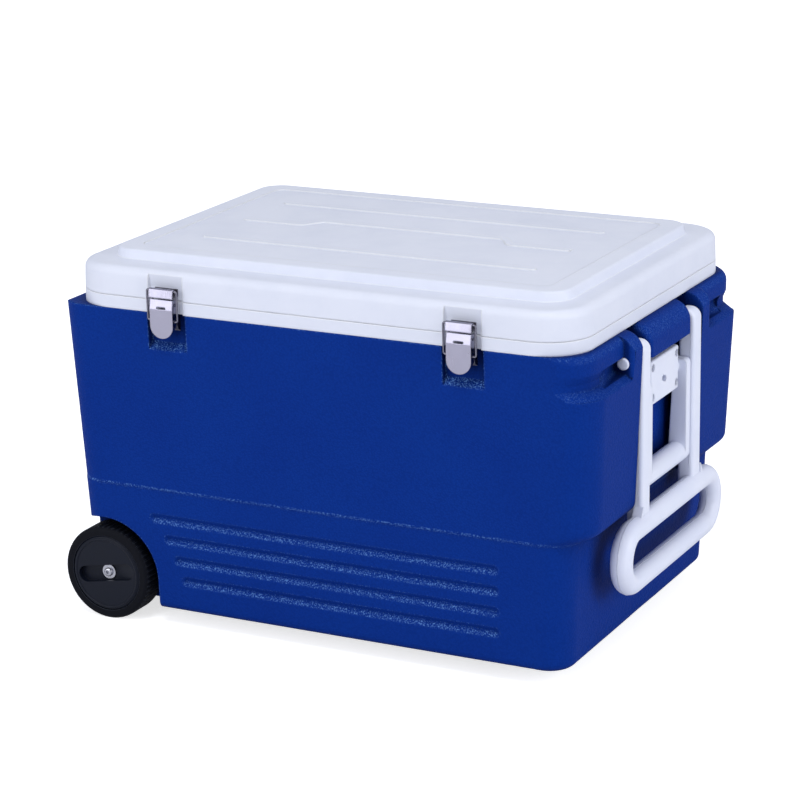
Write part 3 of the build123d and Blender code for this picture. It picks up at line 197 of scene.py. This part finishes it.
def edge_share(tree, soft_edge, start, full, most):
    """0 on the flats and most at an edge: start and full are cosines of how far the softened
    edge turns away from the plain face."""
    plain = add_node(tree, "ShaderNodeNewGeometry")
    turned = add_node(tree, "ShaderNodeVectorMath", {"operation": "DOT_PRODUCT"},
                      {0: soft_edge.outputs[0], 1: plain.outputs["Normal"]})
    return add_node(tree, "ShaderNodeMapRange", {},
                    {0: turned.outputs["Value"], 1: start, 2: full, 3: 0.0, 4: most})


pebble_size = 0.0024            # real pebbles are about 1 mm, too fine to show
pebble_depth = 0.0007
grit_size = 2 * pebble_size
edge_softness = 0.0035          # moulded edges are rounder than the drawn ones
scuff_size = 0.0016
cloud_size = 1 / 9              # about 110 mm
pebbled, tree, output = new_material("blow_moulded_polyethylene_pebbled")
place = add_node(tree, "ShaderNodeTexCoord")
pebbles = add_node(tree, "ShaderNodeTexVoronoi", {"feature": "SMOOTH_F1"},
                   {"Vector": place.outputs["Object"], "Scale": 1 / pebble_size, "Smoothness": 0.5})
grit = add_node(tree, "ShaderNodeTexNoise", {},
                {"Vector": place.outputs["Object"], "Scale": 1 / grit_size, "Detail": 3.0,
                 "Roughness": 0.6})
height = add_node(tree, "ShaderNodeMath", {"operation": "SUBTRACT"},
                  {0: grit.outputs[0], 1: pebbles.outputs["Distance"]})
soft_edge = add_node(tree, "ShaderNodeBevel", {"samples": 6}, {"Radius": edge_softness})
grain = add_node(tree, "ShaderNodeBump", {}, {"Strength": 0.5, "Distance": pebble_depth,
                                              "Height": height.outputs[0],
                                              "Normal": soft_edge.outputs[0]})
edge = edge_share(tree, soft_edge, start=0.995, full=0.93, most=0.9)
# painted highlight: slopes that look up get pale specks in their colour, as if each pebble caught the light;
# level tops and upright walls do not
facing = add_node(tree, "ShaderNodeSeparateXYZ", {}, {0: soft_edge.outputs[0]})
slope_low = add_node(tree, "ShaderNodeMapRange", {},
                     {0: facing.outputs["Z"], 1: 0.12, 2: 0.4, 3: 0.0, 4: 1.0})
slope_high = add_node(tree, "ShaderNodeMapRange", {},
                      {0: facing.outputs["Z"], 1: 0.75, 2: 0.92, 3: 1.0, 4: 0.12})
slope = add_node(tree, "ShaderNodeMath", {"operation": "MULTIPLY"},
                 {0: slope_low.outputs[0], 1: slope_high.outputs[0]})
edge_or_lit_slope = add_node(tree, "ShaderNodeMath", {"operation": "MAXIMUM"},
                  {0: edge.outputs[0], 1: slope.outputs[0]})
# the painted sparkle fades to less than a third towards the handle end
sparkle_fade_from = 0.26
sparkle_fade_to = 0.3
spot = add_node(tree, "ShaderNodeSeparateXYZ", {}, {0: place.outputs["Object"]})
sparkle_fade_at_handle_end = add_node(tree, "ShaderNodeMapRange", {},
                   {0: spot.outputs["X"], 1: sparkle_fade_from, 2: sparkle_fade_to, 3: 1.0, 4: 0.3})
edge_and_slope_sparkle = add_node(tree, "ShaderNodeMath", {"operation": "MULTIPLY"},
                  {0: edge_or_lit_slope.outputs[0], 1: sparkle_fade_at_handle_end.outputs[0]})
# painted highlight: the lip of the ledge that runs round the body at this level gets the pale specks, as if
# it caught the light
ledge_level = 0.1738
ledge_width = 0.0022
from_ledge = add_node(tree, "ShaderNodeMath", {"operation": "SUBTRACT"},
                      {0: spot.outputs["Z"], 1: ledge_level})
ledge_far = add_node(tree, "ShaderNodeMath", {"operation": "ABSOLUTE"}, {0: from_ledge.outputs[0]})
ledge_lip = add_node(tree, "ShaderNodeMapRange", {},
                     {0: ledge_far.outputs[0], 1: ledge_width / 2, 2: ledge_width, 3: 1.0, 4: 0.0})
ledge_highlight = add_node(tree, "ShaderNodeMath", {"operation": "MULTIPLY"},
                      {0: ledge_lip.outputs[0], 1: sparkle_fade_at_handle_end.outputs[0]})
sparkle_share = add_node(tree, "ShaderNodeMath", {"operation": "MAXIMUM"},
                   {0: edge_and_slope_sparkle.outputs[0], 1: ledge_highlight.outputs[0]})
specks = add_node(tree, "ShaderNodeTexNoise", {},
                  {"Vector": place.outputs["Object"], "Scale": 1 / scuff_size, "Detail": 2.0,
                   "Roughness": 0.7})
sparkle = add_node(tree, "ShaderNodeMapRange", {},
                   {0: specks.outputs[0], 1: 0.5, 2: 0.72, 3: 0.0, 4: 1.0})
sparkle_and_scuffs = add_node(tree, "ShaderNodeMath", {"operation": "MULTIPLY"},
                   {0: sparkle_share.outputs[0], 1: sparkle.outputs[0]})
# the colour drifts a little from place to place, and is darker between the pebbles
clouds = add_node(tree, "ShaderNodeTexNoise", {},
                  {"Vector": place.outputs["Object"], "Scale": 1 / cloud_size, "Detail": 4.0})
tint = add_node(tree, "ShaderNodeMix", {"data_type": "RGBA"},
                {0: clouds.outputs[0], 6: hex_colour("0a2f87"), 7: hex_colour("0c3893")})
fleck = add_node(tree, "ShaderNodeMapRange", {},
                 {0: pebbles.outputs["Distance"], 1: 0.1, 2: 0.7, 3: 0.0, 4: 0.35})
shaded = add_node(tree, "ShaderNodeMix", {"data_type": "RGBA"},
                  {0: fleck.outputs[0], 6: tint.outputs[2], 7: hex_colour("04256f")})
# painted shade: pockets and corners are darkened where the surfaces around close in on them
nook_reach = 0.03
nook = add_node(tree, "ShaderNodeAmbientOcclusion", {"samples": 6}, {"Distance": nook_reach})
painted_shade = add_node(tree, "ShaderNodeMapRange", {},
                 {0: nook.outputs["AO"], 1: 0.45, 2: 0.93, 3: 0.85, 4: 0.0})
dull = add_node(tree, "ShaderNodeMix", {"data_type": "RGBA"},
                {0: painted_shade.outputs[0], 6: shaded.outputs[2], 7: hex_colour("041440")})
# pale specks in the colour: painted highlights of the grain's sparkle, which on the edges also stand for
# scuffs
sparkled_colour = add_node(tree, "ShaderNodeMix", {"data_type": "RGBA"},
                {0: sparkle_and_scuffs.outputs[0], 6: dull.outputs[2], 7: hex_colour("6494da")})
gloss = add_node(tree, "ShaderNodeMapRange", {}, {0: sparkle_and_scuffs.outputs[0], 3: 0.58, 4: 0.35})
skin = add_node(tree, "ShaderNodeBsdfPrincipled", {},
                {"Base Color": sparkled_colour.outputs[2], "Roughness": gloss.outputs[0], "IOR": 1.51,
                 "Specular IOR Level": 0.03, "Normal": grain.outputs[0]})
tree.links.new(skin.outputs[0], output.inputs["Surface"])
dress(["body_shell"], pebbled)


# ------------------------------------------------------------------ liner, rim and lid
# Liner and lid are injection-moulded polypropylene, white and a little cool. A fine spark-eroded
# texture keeps their gloss low, hands and shelves leave faint marks and hairline scratches, and
# the edges of the lid's ribs and steps are painted paler, as a highlight where they catch the light.
scratch_width = 1 / 1400        # about 0.7 mm: real scratches are finer
scratch_length = 1 / 30         # about 33 mm
smudge_size = 1 / 14            # about 70 mm


def white_moulding(name, clean, marked, roughness, grain_size, grain_depth, edge_radius,
                   edge_highlight=None):
    """White polypropylene with an even grain, marks, fine scratches and, if given, edges painted paler as a
    highlight.
    """
    made, tree, output = new_material(name)
    place = add_node(tree, "ShaderNodeTexCoord")
    grains = add_node(tree, "ShaderNodeTexNoise", {},
                      {"Vector": place.outputs["Object"], "Scale": 1 / grain_size, "Detail": 2.0})
    stretch = add_node(tree, "ShaderNodeMapping", {},
                       {"Vector": place.outputs["Object"], "Rotation": (0.3, 0.5, 0.7),
                        "Scale": (1 / scratch_length, 1 / scratch_width, 1 / scratch_width)})
    scratches = add_node(tree, "ShaderNodeTexNoise", {}, {"Vector": stretch.outputs[0], "Scale": 1.0})
    scratched = add_node(tree, "ShaderNodeMapRange", {},
                         {0: scratches.outputs[0], 1: 0.66, 2: 0.76, 3: 0.0, 4: 1.0})
    smudges = add_node(tree, "ShaderNodeTexNoise", {},
                       {"Vector": place.outputs["Object"], "Scale": 1 / smudge_size, "Detail": 5.0,
                        "Roughness": 0.62})
    marks = add_node(tree, "ShaderNodeMapRange", {},
                     {0: smudges.outputs[0], 1: 0.42, 2: 0.75, 3: 0.0, 4: 0.7})
    tint = add_node(tree, "ShaderNodeMix", {"data_type": "RGBA"},
                    {0: marks.outputs[0], 6: hex_colour(clean), 7: hex_colour(marked)})
    rough = add_node(tree, "ShaderNodeMapRange", {},
                     {0: smudges.outputs[0], 3: roughness - 0.08, 4: roughness + 0.08})
    soft_edge = add_node(tree, "ShaderNodeBevel", {"samples": 6}, {"Radius": edge_radius})
    relief = add_node(tree, "ShaderNodeMath", {"operation": "SUBTRACT"},
                      {0: grains.outputs[0], 1: scratched.outputs[0]})
    grain = add_node(tree, "ShaderNodeBump", {}, {"Strength": 0.25, "Distance": grain_depth,
                                                  "Height": relief.outputs[0],
                                                  "Normal": soft_edge.outputs[0]})
    # painted highlight: edges are mixed towards the paler colour given
    if edge_highlight:
        edge = edge_share(tree, soft_edge, start=0.99, full=0.85, most=1.0)
        tint = add_node(tree, "ShaderNodeMix", {"data_type": "RGBA"},
                        {0: edge.outputs[0], 6: tint.outputs[2], 7: hex_colour(edge_highlight)})
    skin = add_node(tree, "ShaderNodeBsdfPrincipled", {},
                    {"Base Color": tint.outputs[2], "Roughness": rough.outputs[0], "IOR": 1.49,
                     "Specular IOR Level": 0.3, "Normal": grain.outputs[0]})
    tree.links.new(skin.outputs[0], output.inputs["Surface"])
    return made


lid_white = white_moulding("injection_moulded_polypropylene_textured", "e3e7f4", "dadfee", roughness=0.45,
                           grain_size=0.0016, grain_depth=0.00015, edge_radius=0.0028,
                           edge_highlight="f8faff")
dress(["lid_shell", "lid_liner", "liner"], lid_white)


# ------------------------------------------------------------------ foam and seals
# Rigid polyurethane foam, poured between the skins: cream, with open bubbles where it is cut.
# The lid's gasket, the drain's seal and the wheel bushes are soft grey mouldings.
patch_size = 1 / 45             # about 22 mm


def even_moulding(name, colour, roughness, grain_size, grain_depth, gloss, edge_radius,
                  edge_highlight=None):
    """A plastic or rubber with an even grain, an uneven tone and, if given, edges painted paler as a
    highlight.
    """
    made, tree, output = new_material(name)
    place = add_node(tree, "ShaderNodeTexCoord")
    grains = add_node(tree, "ShaderNodeTexNoise", {},
                      {"Vector": place.outputs["Object"], "Scale": 1 / grain_size, "Detail": 2.0})
    patches = add_node(tree, "ShaderNodeTexNoise", {},
                       {"Vector": place.outputs["Object"], "Scale": 1 / patch_size, "Detail": 4.0,
                        "Roughness": 0.6})
    darker = [channel * 0.72 for channel in hex_colour(colour)[:3]] + [1.0]
    tint = add_node(tree, "ShaderNodeMix", {"data_type": "RGBA"},
                    {0: patches.outputs[0], 6: hex_colour(colour), 7: darker})
    rough = add_node(tree, "ShaderNodeMapRange", {},
                     {0: patches.outputs[0], 3: roughness - 0.08, 4: roughness + 0.1})
    soft_edge = add_node(tree, "ShaderNodeBevel", {"samples": 4}, {"Radius": edge_radius})
    grain = add_node(tree, "ShaderNodeBump", {}, {"Strength": 0.3, "Distance": grain_depth,
                                                  "Height": grains.outputs[0],
                                                  "Normal": soft_edge.outputs[0]})
    # painted highlight: edges are mixed towards the paler colour given
    if edge_highlight:
        edge = edge_share(tree, soft_edge, start=0.99, full=0.85, most=0.8)
        tint = add_node(tree, "ShaderNodeMix", {"data_type": "RGBA"},
                        {0: edge.outputs[0], 6: tint.outputs[2], 7: hex_colour(edge_highlight)})
    skin = add_node(tree, "ShaderNodeBsdfPrincipled", {},
                    {"Base Color": tint.outputs[2], "Roughness": rough.outputs[0], "IOR": 1.49,
                     "Specular IOR Level": gloss, "Normal": grain.outputs[0]})
    tree.links.new(skin.outputs[0], output.inputs["Surface"])
    return made


# the foam is dead matt and crumbly, the silicone has a soft sheen
foam = even_moulding("rigid_polyurethane_foam", "eadfb4", roughness=0.88, grain_size=0.0015,
                     grain_depth=0.0012, gloss=0.2, edge_radius=0.001)
dress(["body_foam", "lid_foam"], foam)
seal_grey = even_moulding("moulded_silicone_grey", "c8cad0", roughness=0.5, grain_size=0.001,
                          grain_depth=0.0001, gloss=0.3, edge_radius=0.0006)
dress(["lid_gasket", "drain_seal", "wheel_bush_front", "wheel_bush_rear"], seal_grey)

# ------------------------------------------------------------------ handles
# Both handles are solid white polypropylene, moulded smooth, so they are a little brighter and
# glossier than the lid. The tow handle's pins, the bracket and the drain are the same plastic.
handle_white = white_moulding("injection_moulded_polypropylene_smooth", "e8ecfb", "dfe5f8", roughness=0.32,
                              grain_size=0.004, grain_depth=0.0001, edge_radius=0.0025)
dress(["tow_handle", "carry_handle", "carry_bracket", "drain_spigot", "drain_cap", "tow_pin_front",
       "tow_pin_rear"], handle_white)

# ------------------------------------------------------------------ flash line of the tow handle
# The two halves of the mould meet in the middle of the loop and leave a hairline of flash all
# round it, outside and inside, and up both sides of each rail.
def keep_piece(name, mesh, material, body):
    """Adds a finished mesh as a piece that rides on a body and takes a slot's finish."""
    mesh.materials.clear()
    mesh.materials.append(material)
    piece = bpy.data.objects.new(name, mesh)
    scene.collection.objects.link(piece)
    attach(piece, body)
    return piece


def bead(name, runs, radius):
    """Thin round beads along runs of points; each run is (points, whether it closes)."""
    line = bpy.data.curves.new(name, "CURVE")
    line.dimensions = "3D"
    line.bevel_depth = radius
    line.bevel_resolution = 2
    for points, closes in runs:
        run = line.splines.new("POLY")
        run.points.add(len(points) - 1)
        for point, place in zip(run.points, points):
            point.co = (*place, 1.0)
        run.use_cyclic_u = closes
    holder = bpy.data.objects.new(name, line)
    scene.collection.objects.link(holder)
    bpy.context.view_layer.update()
    mesh = bpy.data.meshes.new_from_object(holder.evaluated_get(bpy.context.evaluated_depsgraph_get()))
    bpy.data.objects.remove(holder)
    mesh.name = name
    mesh.shade_smooth()
    return mesh


def round_frame(x, half_width, low, high, radius, steps=14):
    """Points round a frame with rounded corners, in an upright plane across the box."""
    corners = ((1, high, 0), (-1, high, 90), (-1, low, 180), (1, low, 270))
    points = []
    for side, level, start in corners:
        up_or_down = -1 if level == high else 1
        for step in range(steps + 1):
            turn = math.radians(start + 90 * step / steps)
            points.append((x, side * (half_width - radius) + radius * math.cos(turn),
                           level + up_or_down * radius + radius * math.sin(turn)))
    return points


tow_low, tow_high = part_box("tow_handle")
tube = 0.013                    # radius of the loop's tube
tube_gap = 0.035                # between the loop's upper and lower tubes
loop_middle = tow_high[0] - tube
loop_bottom = tow_low[2]
loop_top = loop_bottom + 4 * tube + tube_gap
loop_reach = tow_high[1]
corner_slack = 0.0005           # keeps the two corners of each end from meeting
outer_corner = 2 * tube + tube_gap / 2 - corner_slack
flash_radius = 0.0004           # a real flash line is finer than this
rail_sides = (0.0665, 0.0905)   # inner and outer side of a rail, from the middle
flash_above_loop = 0.012        # the rails' flash starts above the loop and ends below the tip
flash_below_tip = 0.02
rail_flash_low = loop_top + flash_above_loop
rail_flash_high = tow_high[2] - flash_below_tip
flash_runs = [
    (round_frame(loop_middle, loop_reach, loop_bottom, loop_top, outer_corner), True),
    (round_frame(loop_middle, loop_reach - 2 * tube, loop_bottom + 2 * tube, loop_top - 2 * tube,
                 outer_corner - 2 * tube), True),
]
for side in rail_sides:
    for sign in (-1, 1):
        flash_runs.append(([(loop_middle, sign * side, rail_flash_low),
                            (loop_middle, sign * side, rail_flash_high)], False))
keep_piece("tow_handle_flash", bead("tow_handle_flash", flash_runs, flash_radius), handle_white,
           "tow_handle")


# ------------------------------------------------------------------ latches
# Draw latches pressed from polished stainless sheet: rolling marks run along the strip, and the
# pressed edges are tumbled round, which gives each of them a thin bright line.
stroke_width = 1 / 900          # about 1.1 mm: real rolling marks are finer
stroke_length = 1 / 60          # about 17 mm
stroke_depth = 0.00005
finger_size = 1 / 60            # about 17 mm, the width of a fingertip


def steel(name, colour, roughness, brush, edge_radius):
    """Polished or plated steel with faint rolling marks and finger marks."""
    made, tree, output = new_material(name)
    place = add_node(tree, "ShaderNodeTexCoord")
    stretch = add_node(tree, "ShaderNodeMapping", {},
                       {"Vector": place.outputs["Object"],
                        "Scale": (1 / stroke_width, 1 / stroke_width, 1 / stroke_length)})
    strokes = add_node(tree, "ShaderNodeTexNoise", {},
                       {"Vector": stretch.outputs[0], "Scale": 1.0, "Detail": 3.0})
    fingers = add_node(tree, "ShaderNodeTexNoise", {},
                       {"Vector": place.outputs["Object"], "Scale": 1 / finger_size, "Detail": 3.0})
    both_marks = add_node(tree, "ShaderNodeMath", {"operation": "MULTIPLY"},
                          {0: strokes.outputs[0], 1: fingers.outputs[0]})
    rough = add_node(tree, "ShaderNodeMapRange", {},
                     {0: both_marks.outputs[0], 1: 0.1, 2: 0.5, 3: roughness, 4: roughness + brush})
    darker = [channel * 0.82 for channel in hex_colour(colour)[:3]] + [1.0]
    tint = add_node(tree, "ShaderNodeMix", {"data_type": "RGBA"},
                    {0: fingers.outputs[0], 6: hex_colour(colour), 7: darker})
    soft_edge = add_node(tree, "ShaderNodeBevel", {"samples": 6}, {"Radius": edge_radius})
    relief = add_node(tree, "ShaderNodeBump", {}, {"Strength": 0.15, "Distance": stroke_depth,
                                                   "Height": strokes.outputs[0],
                                                   "Normal": soft_edge.outputs[0]})
    skin = add_node(tree, "ShaderNodeBsdfPrincipled", {},
                    {"Base Color": tint.outputs[2], "Metallic": 1.0, "Roughness": rough.outputs[0],
                     "Normal": relief.outputs[0]})
    tree.links.new(skin.outputs[0], output.inputs["Surface"])
    return made


def both_latches(*parts):
    """The names of these parts of the left and of the right latch."""
    return [f"latch_{part}_{side}" for part in parts for side in ("left", "right")]


latch_steel = steel("polished_stainless_sheet", "b2b0c3", roughness=0.16, brush=0.16, edge_radius=0.0016)
dress(both_latches("lever", "hook"), latch_steel)
dress(["hinge_body_leaves", "hinge_lid_leaves", "hinge_pins"], latch_steel)
# painted reflection: the wire loops and the pins are drawn, with one clean line of light along them, and
# their darker colour stands for the dark reflections they show
darkened_wire_steel = steel("drawn_stainless_wire_darkened", "807f8c", roughness=0.2, brush=0.1, edge_radius=0.0004)
dress(both_latches("bail", "pin"), darkened_wire_steel)
# painted shade: the plates behind are the same stainless in a darker, duller grey, for the shade of the
# pocket they lie in
shaded_plate_steel = steel("stainless_sheet_darkened_for_shade", "6f6e7a", roughness=0.35, brush=0.2, edge_radius=0.0006)
dress(both_latches("base", "rivets", "strike") + ["strike_rivets"], shaded_plate_steel)

# ------------------------------------------------------------------ screws
# Zinc-plated steel screws, pale and evenly bright: cross-recessed pan heads in the hinges and the
# handle bracket, and button heads with a hexagon socket on the ends of the axle.
zinc_steel = steel("zinc_plated_steel", "c9cad2", roughness=0.2, brush=0.15, edge_radius=0.0004)
dress(["foot_screws", "axle_washers", "axle", "carry_pin"], zinc_steel)


def turned_shape(profile, around=48):
    """A closed bmesh turned round Z from (radius, height) points that start and end on the axis."""
    shape = bmesh.new()
    rings = []
    for radius, height in profile:
        count = around if radius > 0 else 1
        rings.append([shape.verts.new((radius * math.cos(2 * math.pi * i / around),
                                       radius * math.sin(2 * math.pi * i / around), height))
                      for i in range(count)])
    for low, high in zip(rings, rings[1:]):
        for i in range(around):
            j = (i + 1) % around
            corners = [low[i % len(low)], low[j % len(low)], high[j % len(high)], high[i % len(high)]]
            shape.faces.new(list(dict.fromkeys(corners)))
    bmesh.ops.recalc_face_normals(shape, faces=shape.faces)
    return shape


def tapered_cutter(outline, top, bottom, shrink):
    """A closed bmesh between an outline at the top and the same one, smaller, at the bottom."""
    shape = bmesh.new()
    upper = [shape.verts.new((x, y, top)) for x, y in outline]
    lower = [shape.verts.new((x * shrink, y * shrink, bottom)) for x, y in outline]
    shape.faces.new(upper)
    shape.faces.new(lower)
    for i in range(len(outline)):
        j = (i + 1) % len(outline)
        shape.faces.new((upper[i], upper[j], lower[j], lower[i]))
    bmesh.ops.recalc_face_normals(shape, faces=shape.faces)
    return shape


def carved(solid, cutter):
    """The mesh of one bmesh less another."""
    holders = []
    for shape in (solid, cutter):
        mesh = bpy.data.meshes.new("carving")
        shape.to_mesh(mesh)
        shape.free()
        holder = bpy.data.objects.new("carving", mesh)
        scene.collection.objects.link(holder)
        holders.append(holder)
    cut = holders[0].modifiers.new("cut", "BOOLEAN")
    cut.operation = "DIFFERENCE"
    cut.solver = "EXACT"
    cut.object = holders[1]
    bpy.context.view_layer.update()
    mesh = bpy.data.meshes.new_from_object(holders[0].evaluated_get(bpy.context.evaluated_depsgraph_get()))
    for holder in holders:
        bpy.data.objects.remove(holder)
    return mesh


def screw_mesh(head_radius, head_height, dome, shank_radius, shank_length, outline, depth, shrink):
    """A screw with its seat at z = 0 and its head up, with a recess of the given outline."""
    tip_radius = shank_radius * 0.8
    tip_length = shank_radius * 0.3
    dome_width = dome * 1.4
    dome_steps = 6
    cutter_above = 0.0005
    profile = [(0.0, -shank_length), (tip_radius, -shank_length), (shank_radius, -shank_length + tip_length),
               (shank_radius, 0.0), (head_radius, 0.0), (head_radius, head_height - dome)]
    for step in range(1, dome_steps + 1):
        turn = math.pi / 2 * step / dome_steps
        profile.append((head_radius - dome_width * (1 - math.cos(turn)),
                        head_height - dome + dome * math.sin(turn)))
    profile.append((0.0, head_height))
    cutter = tapered_cutter(outline, head_height + cutter_above, head_height - depth, shrink)
    mesh = carved(turned_shape(profile), cutter)
    for face in mesh.polygons:
        face.use_smooth = False
    return mesh


def cross_outline(reach, half_width):
    """Twelve corners of a cross."""
    corners = []
    for turn in range(4):
        sin, cos = math.sin(math.pi / 2 * turn), math.cos(math.pi / 2 * turn)
        for x, y in ((half_width, -half_width), (reach, -half_width), (reach, half_width)):
            corners.append((x * cos - y * sin, x * sin + y * cos))
    return corners


first_spin = 12                 # degrees that the first screw is turned, and each one after it
spin_step = 37


def set_screws(name, mesh, places, material, body):
    """One piece of several screws; each place is (point of the seat, way the head faces)."""
    joined = bmesh.new()
    for index, (seat, way) in enumerate(places):
        turned = Vector(way).to_track_quat("Z", "Y").to_matrix().to_4x4()
        spin = Matrix.Rotation(math.radians(spin_step * index + first_spin), 4, "Z")
        copy = mesh.copy()
        copy.transform(Matrix.Translation(seat) @ turned @ spin)
        joined.from_mesh(copy)
        bpy.data.meshes.remove(copy)
    whole = bpy.data.meshes.new(name)
    joined.to_mesh(whole)
    joined.free()
    piece = keep_piece(name + "_heads", whole, material, body)
    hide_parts(name)
    return piece


hinge_xs = (-0.188, 0.0, 0.188)
hinge_screw_offset = 0.012
hinge_screw_levels = {"body": -0.018, "lid": 0.018}
seam_level = 0.4058
hinge_plate_y = 0.2321
pan_screw = screw_mesh(head_radius=0.0036, head_height=0.0016, dome=0.0009, shank_radius=0.0018,
                       shank_length=0.0145, outline=cross_outline(reach=0.0021, half_width=0.0005),
                       depth=0.0011, shrink=0.45)
for leaf, level in hinge_screw_levels.items():
    spots = [((x + side * hinge_screw_offset, hinge_plate_y, seam_level + level), (0, 1, 0))
             for x in hinge_xs for side in (-1, 1)]
    set_screws(f"hinge_{leaf}_screws", pan_screw, spots, zinc_steel, leaf)

bracket_low, bracket_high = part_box("bracket_screws")
bracket_head = 0.004
bracket_head_height = 0.0024
bracket_seat = bracket_high[0] - bracket_head_height
bracket_screw = screw_mesh(bracket_head, bracket_head_height, dome=0.0012, shank_radius=0.002,
                           shank_length=bracket_seat - bracket_low[0],
                           outline=cross_outline(reach=0.0024, half_width=0.0006), depth=0.0018,
                           shrink=0.4)
spots = [((bracket_seat, side * (bracket_high[1] - bracket_head), level), (1, 0, 0))
         for side in (-1, 1) for level in (bracket_low[2] + bracket_head, bracket_high[2] - bracket_head)]
set_screws("bracket_screws", bracket_screw, spots, zinc_steel, "body")

axle_low, axle_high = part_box("axle_screws")
axle_head = 0.0055
axle_head_height = 0.0036
axle_x = (axle_low[0] + axle_high[0]) / 2
axle_z = (axle_low[2] + axle_high[2]) / 2
axle_seat = axle_high[1] - axle_head_height
socket_reach = 0.0027           # corner of the hexagon socket, from its middle
hexagon = [(socket_reach * math.cos(math.pi / 3 * i), socket_reach * math.sin(math.pi / 3 * i))
           for i in range(6)]
button_screw = screw_mesh(axle_head, axle_head_height, dome=0.0022, shank_radius=0.003,
                          shank_length=0.0165, outline=hexagon, depth=0.0026, shrink=0.95)
spots = [((axle_x, side * axle_seat, axle_z), (0, side, 0)) for side in (-1, 1)]
set_screws("axle_screws", button_screw, spots, zinc_steel, "body")

# ------------------------------------------------------------------ cam behind the bracket's keyhole
# Painted shade: a plug of satin grey-blue nylon fills the back of the keyhole, slot-shaped, with a
# groove along it, sunk deep enough to lie in shade, and dark enough to stand for the shade in the hole.
keyhole_shade_grey = even_moulding("keyhole_shade_nylon_grey", "8990b4", roughness=0.55, grain_size=0.0008,
                         grain_depth=0.0001, gloss=0.2, edge_radius=0.0005)
keyhole_y = -0.002
keyhole_z = 0.312
keyhole_depth = 0.006
keyhole_turn = math.radians(-20.0)
cam_half_length = 0.0063
cam_half_width = 0.0033
cam_thickness = 0.0022
cam_groove = 0.0007             # half the groove's width, and its depth
groove_overrun = 1.02
bracket_screw_sunk = 0.0016     # how far the screw heads lie under the bracket's face
bracket_face = bracket_high[0] + bracket_screw_sunk
cam_points = []
cam_steps = 10
for side in (1, -1):
    for step in range(cam_steps + 1):
        turn = math.pi * step / cam_steps - math.pi / 2
        cam_points.append((side * (cam_half_length - cam_half_width + cam_half_width * math.cos(turn)),
                           side * cam_half_width * math.sin(turn)))
plug = tapered_cutter(cam_points, top=cam_thickness, bottom=0.0, shrink=1.0)
groove = tapered_cutter([(-cam_half_length, -cam_groove), (cam_half_length, -cam_groove),
                         (cam_half_length, cam_groove), (-cam_half_length, cam_groove)],
                        top=cam_thickness + cam_groove, bottom=cam_thickness - cam_groove,
                        shrink=groove_overrun)
cam = carved(plug, groove)
across = Matrix(((0, 0, 1), (1, 0, 0), (0, 1, 0))).to_4x4()
cam_seat = Matrix.Translation((bracket_face - keyhole_depth, keyhole_y, keyhole_z))
cam.transform(cam_seat @ across @ Matrix.Rotation(keyhole_turn, 4, "Z"))
keep_piece("bracket_keyhole_shade_cam", cam, keyhole_shade_grey, "body")

# ------------------------------------------------------------------ wheels
# Black polypropylene wheels with a satin face, and a softer, duller tread band moulded round them,
# whose rib edges are painted grey as a highlight. A low moulded ring stiffens each face, well inside the
# tread.
wheel_black = even_moulding("injection_moulded_polypropylene_black", "0f1524", roughness=0.4,
                            grain_size=0.0012, grain_depth=0.0002, gloss=0.2, edge_radius=0.0012)
tread_black = even_moulding("moulded_thermoplastic_rubber_black", "080b15", roughness=0.6,
                            grain_size=0.0010, grain_depth=0.0004, gloss=0.12, edge_radius=0.0010,
                            edge_highlight="4a505e")
dress(["wheel_front", "wheel_rear"], wheel_black)
dress(["tyre_front", "tyre_rear"], tread_black)

ring_radius = 0.0425
ring_half_width = 0.0012
ring_rise = 0.0007
ring_sunk = 0.0004
ring_segments = 120
ring_shoulder = ring_rise * 0.7
# the ring's section across, as (share of the half width, height)
ring_outline = [(-1.5, -ring_sunk), (-1.0, ring_shoulder), (-0.6, ring_rise),
                (0.6, ring_rise), (1.0, ring_shoulder), (1.5, -ring_sunk)]
ring_profile = [(ring_radius + ring_half_width * share, height) for share, height in ring_outline]
for side, sign in (("front", -1), ("rear", 1)):
    wheel_low, wheel_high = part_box(f"wheel_{side}")
    face_y = wheel_low[1] if sign < 0 else wheel_high[1]
    points = []
    faces = []
    for i in range(ring_segments):
        turn = 2 * math.pi * i / ring_segments
        for radius, height in ring_profile:
            points.append((axle_x + radius * math.cos(turn), face_y + sign * height,
                           axle_z + radius * math.sin(turn)))
        for k in range(len(ring_profile)):
            first = i * len(ring_profile)
            second = (i + 1) % ring_segments * len(ring_profile)
            after = (k + 1) % len(ring_profile)
            quad = (first + k, first + after, second + after, second + k)
            faces.append(quad if sign < 0 else quad[::-1])
    ring = bpy.data.meshes.new(f"wheel_face_ring_{side}")
    ring.from_pydata(points, [], faces)
    ring.validate()
    ring.shade_smooth()
    keep_piece(f"wheel_face_ring_{side}", ring, wheel_black, f"wheel_{side}")

# ------------------------------------------------------------------ feet
# Two rubber pads under the handle end, dull black and a little dusty. They are moulded, and each
# is held to the shell from below by a screw.
foot_black = even_moulding("moulded_rubber_black", "0c0d10", roughness=0.7, grain_size=0.0012,
                           grain_depth=0.0004, gloss=0.15, edge_radius=0.0012)
dress(["foot_front", "foot_rear"], foot_black)
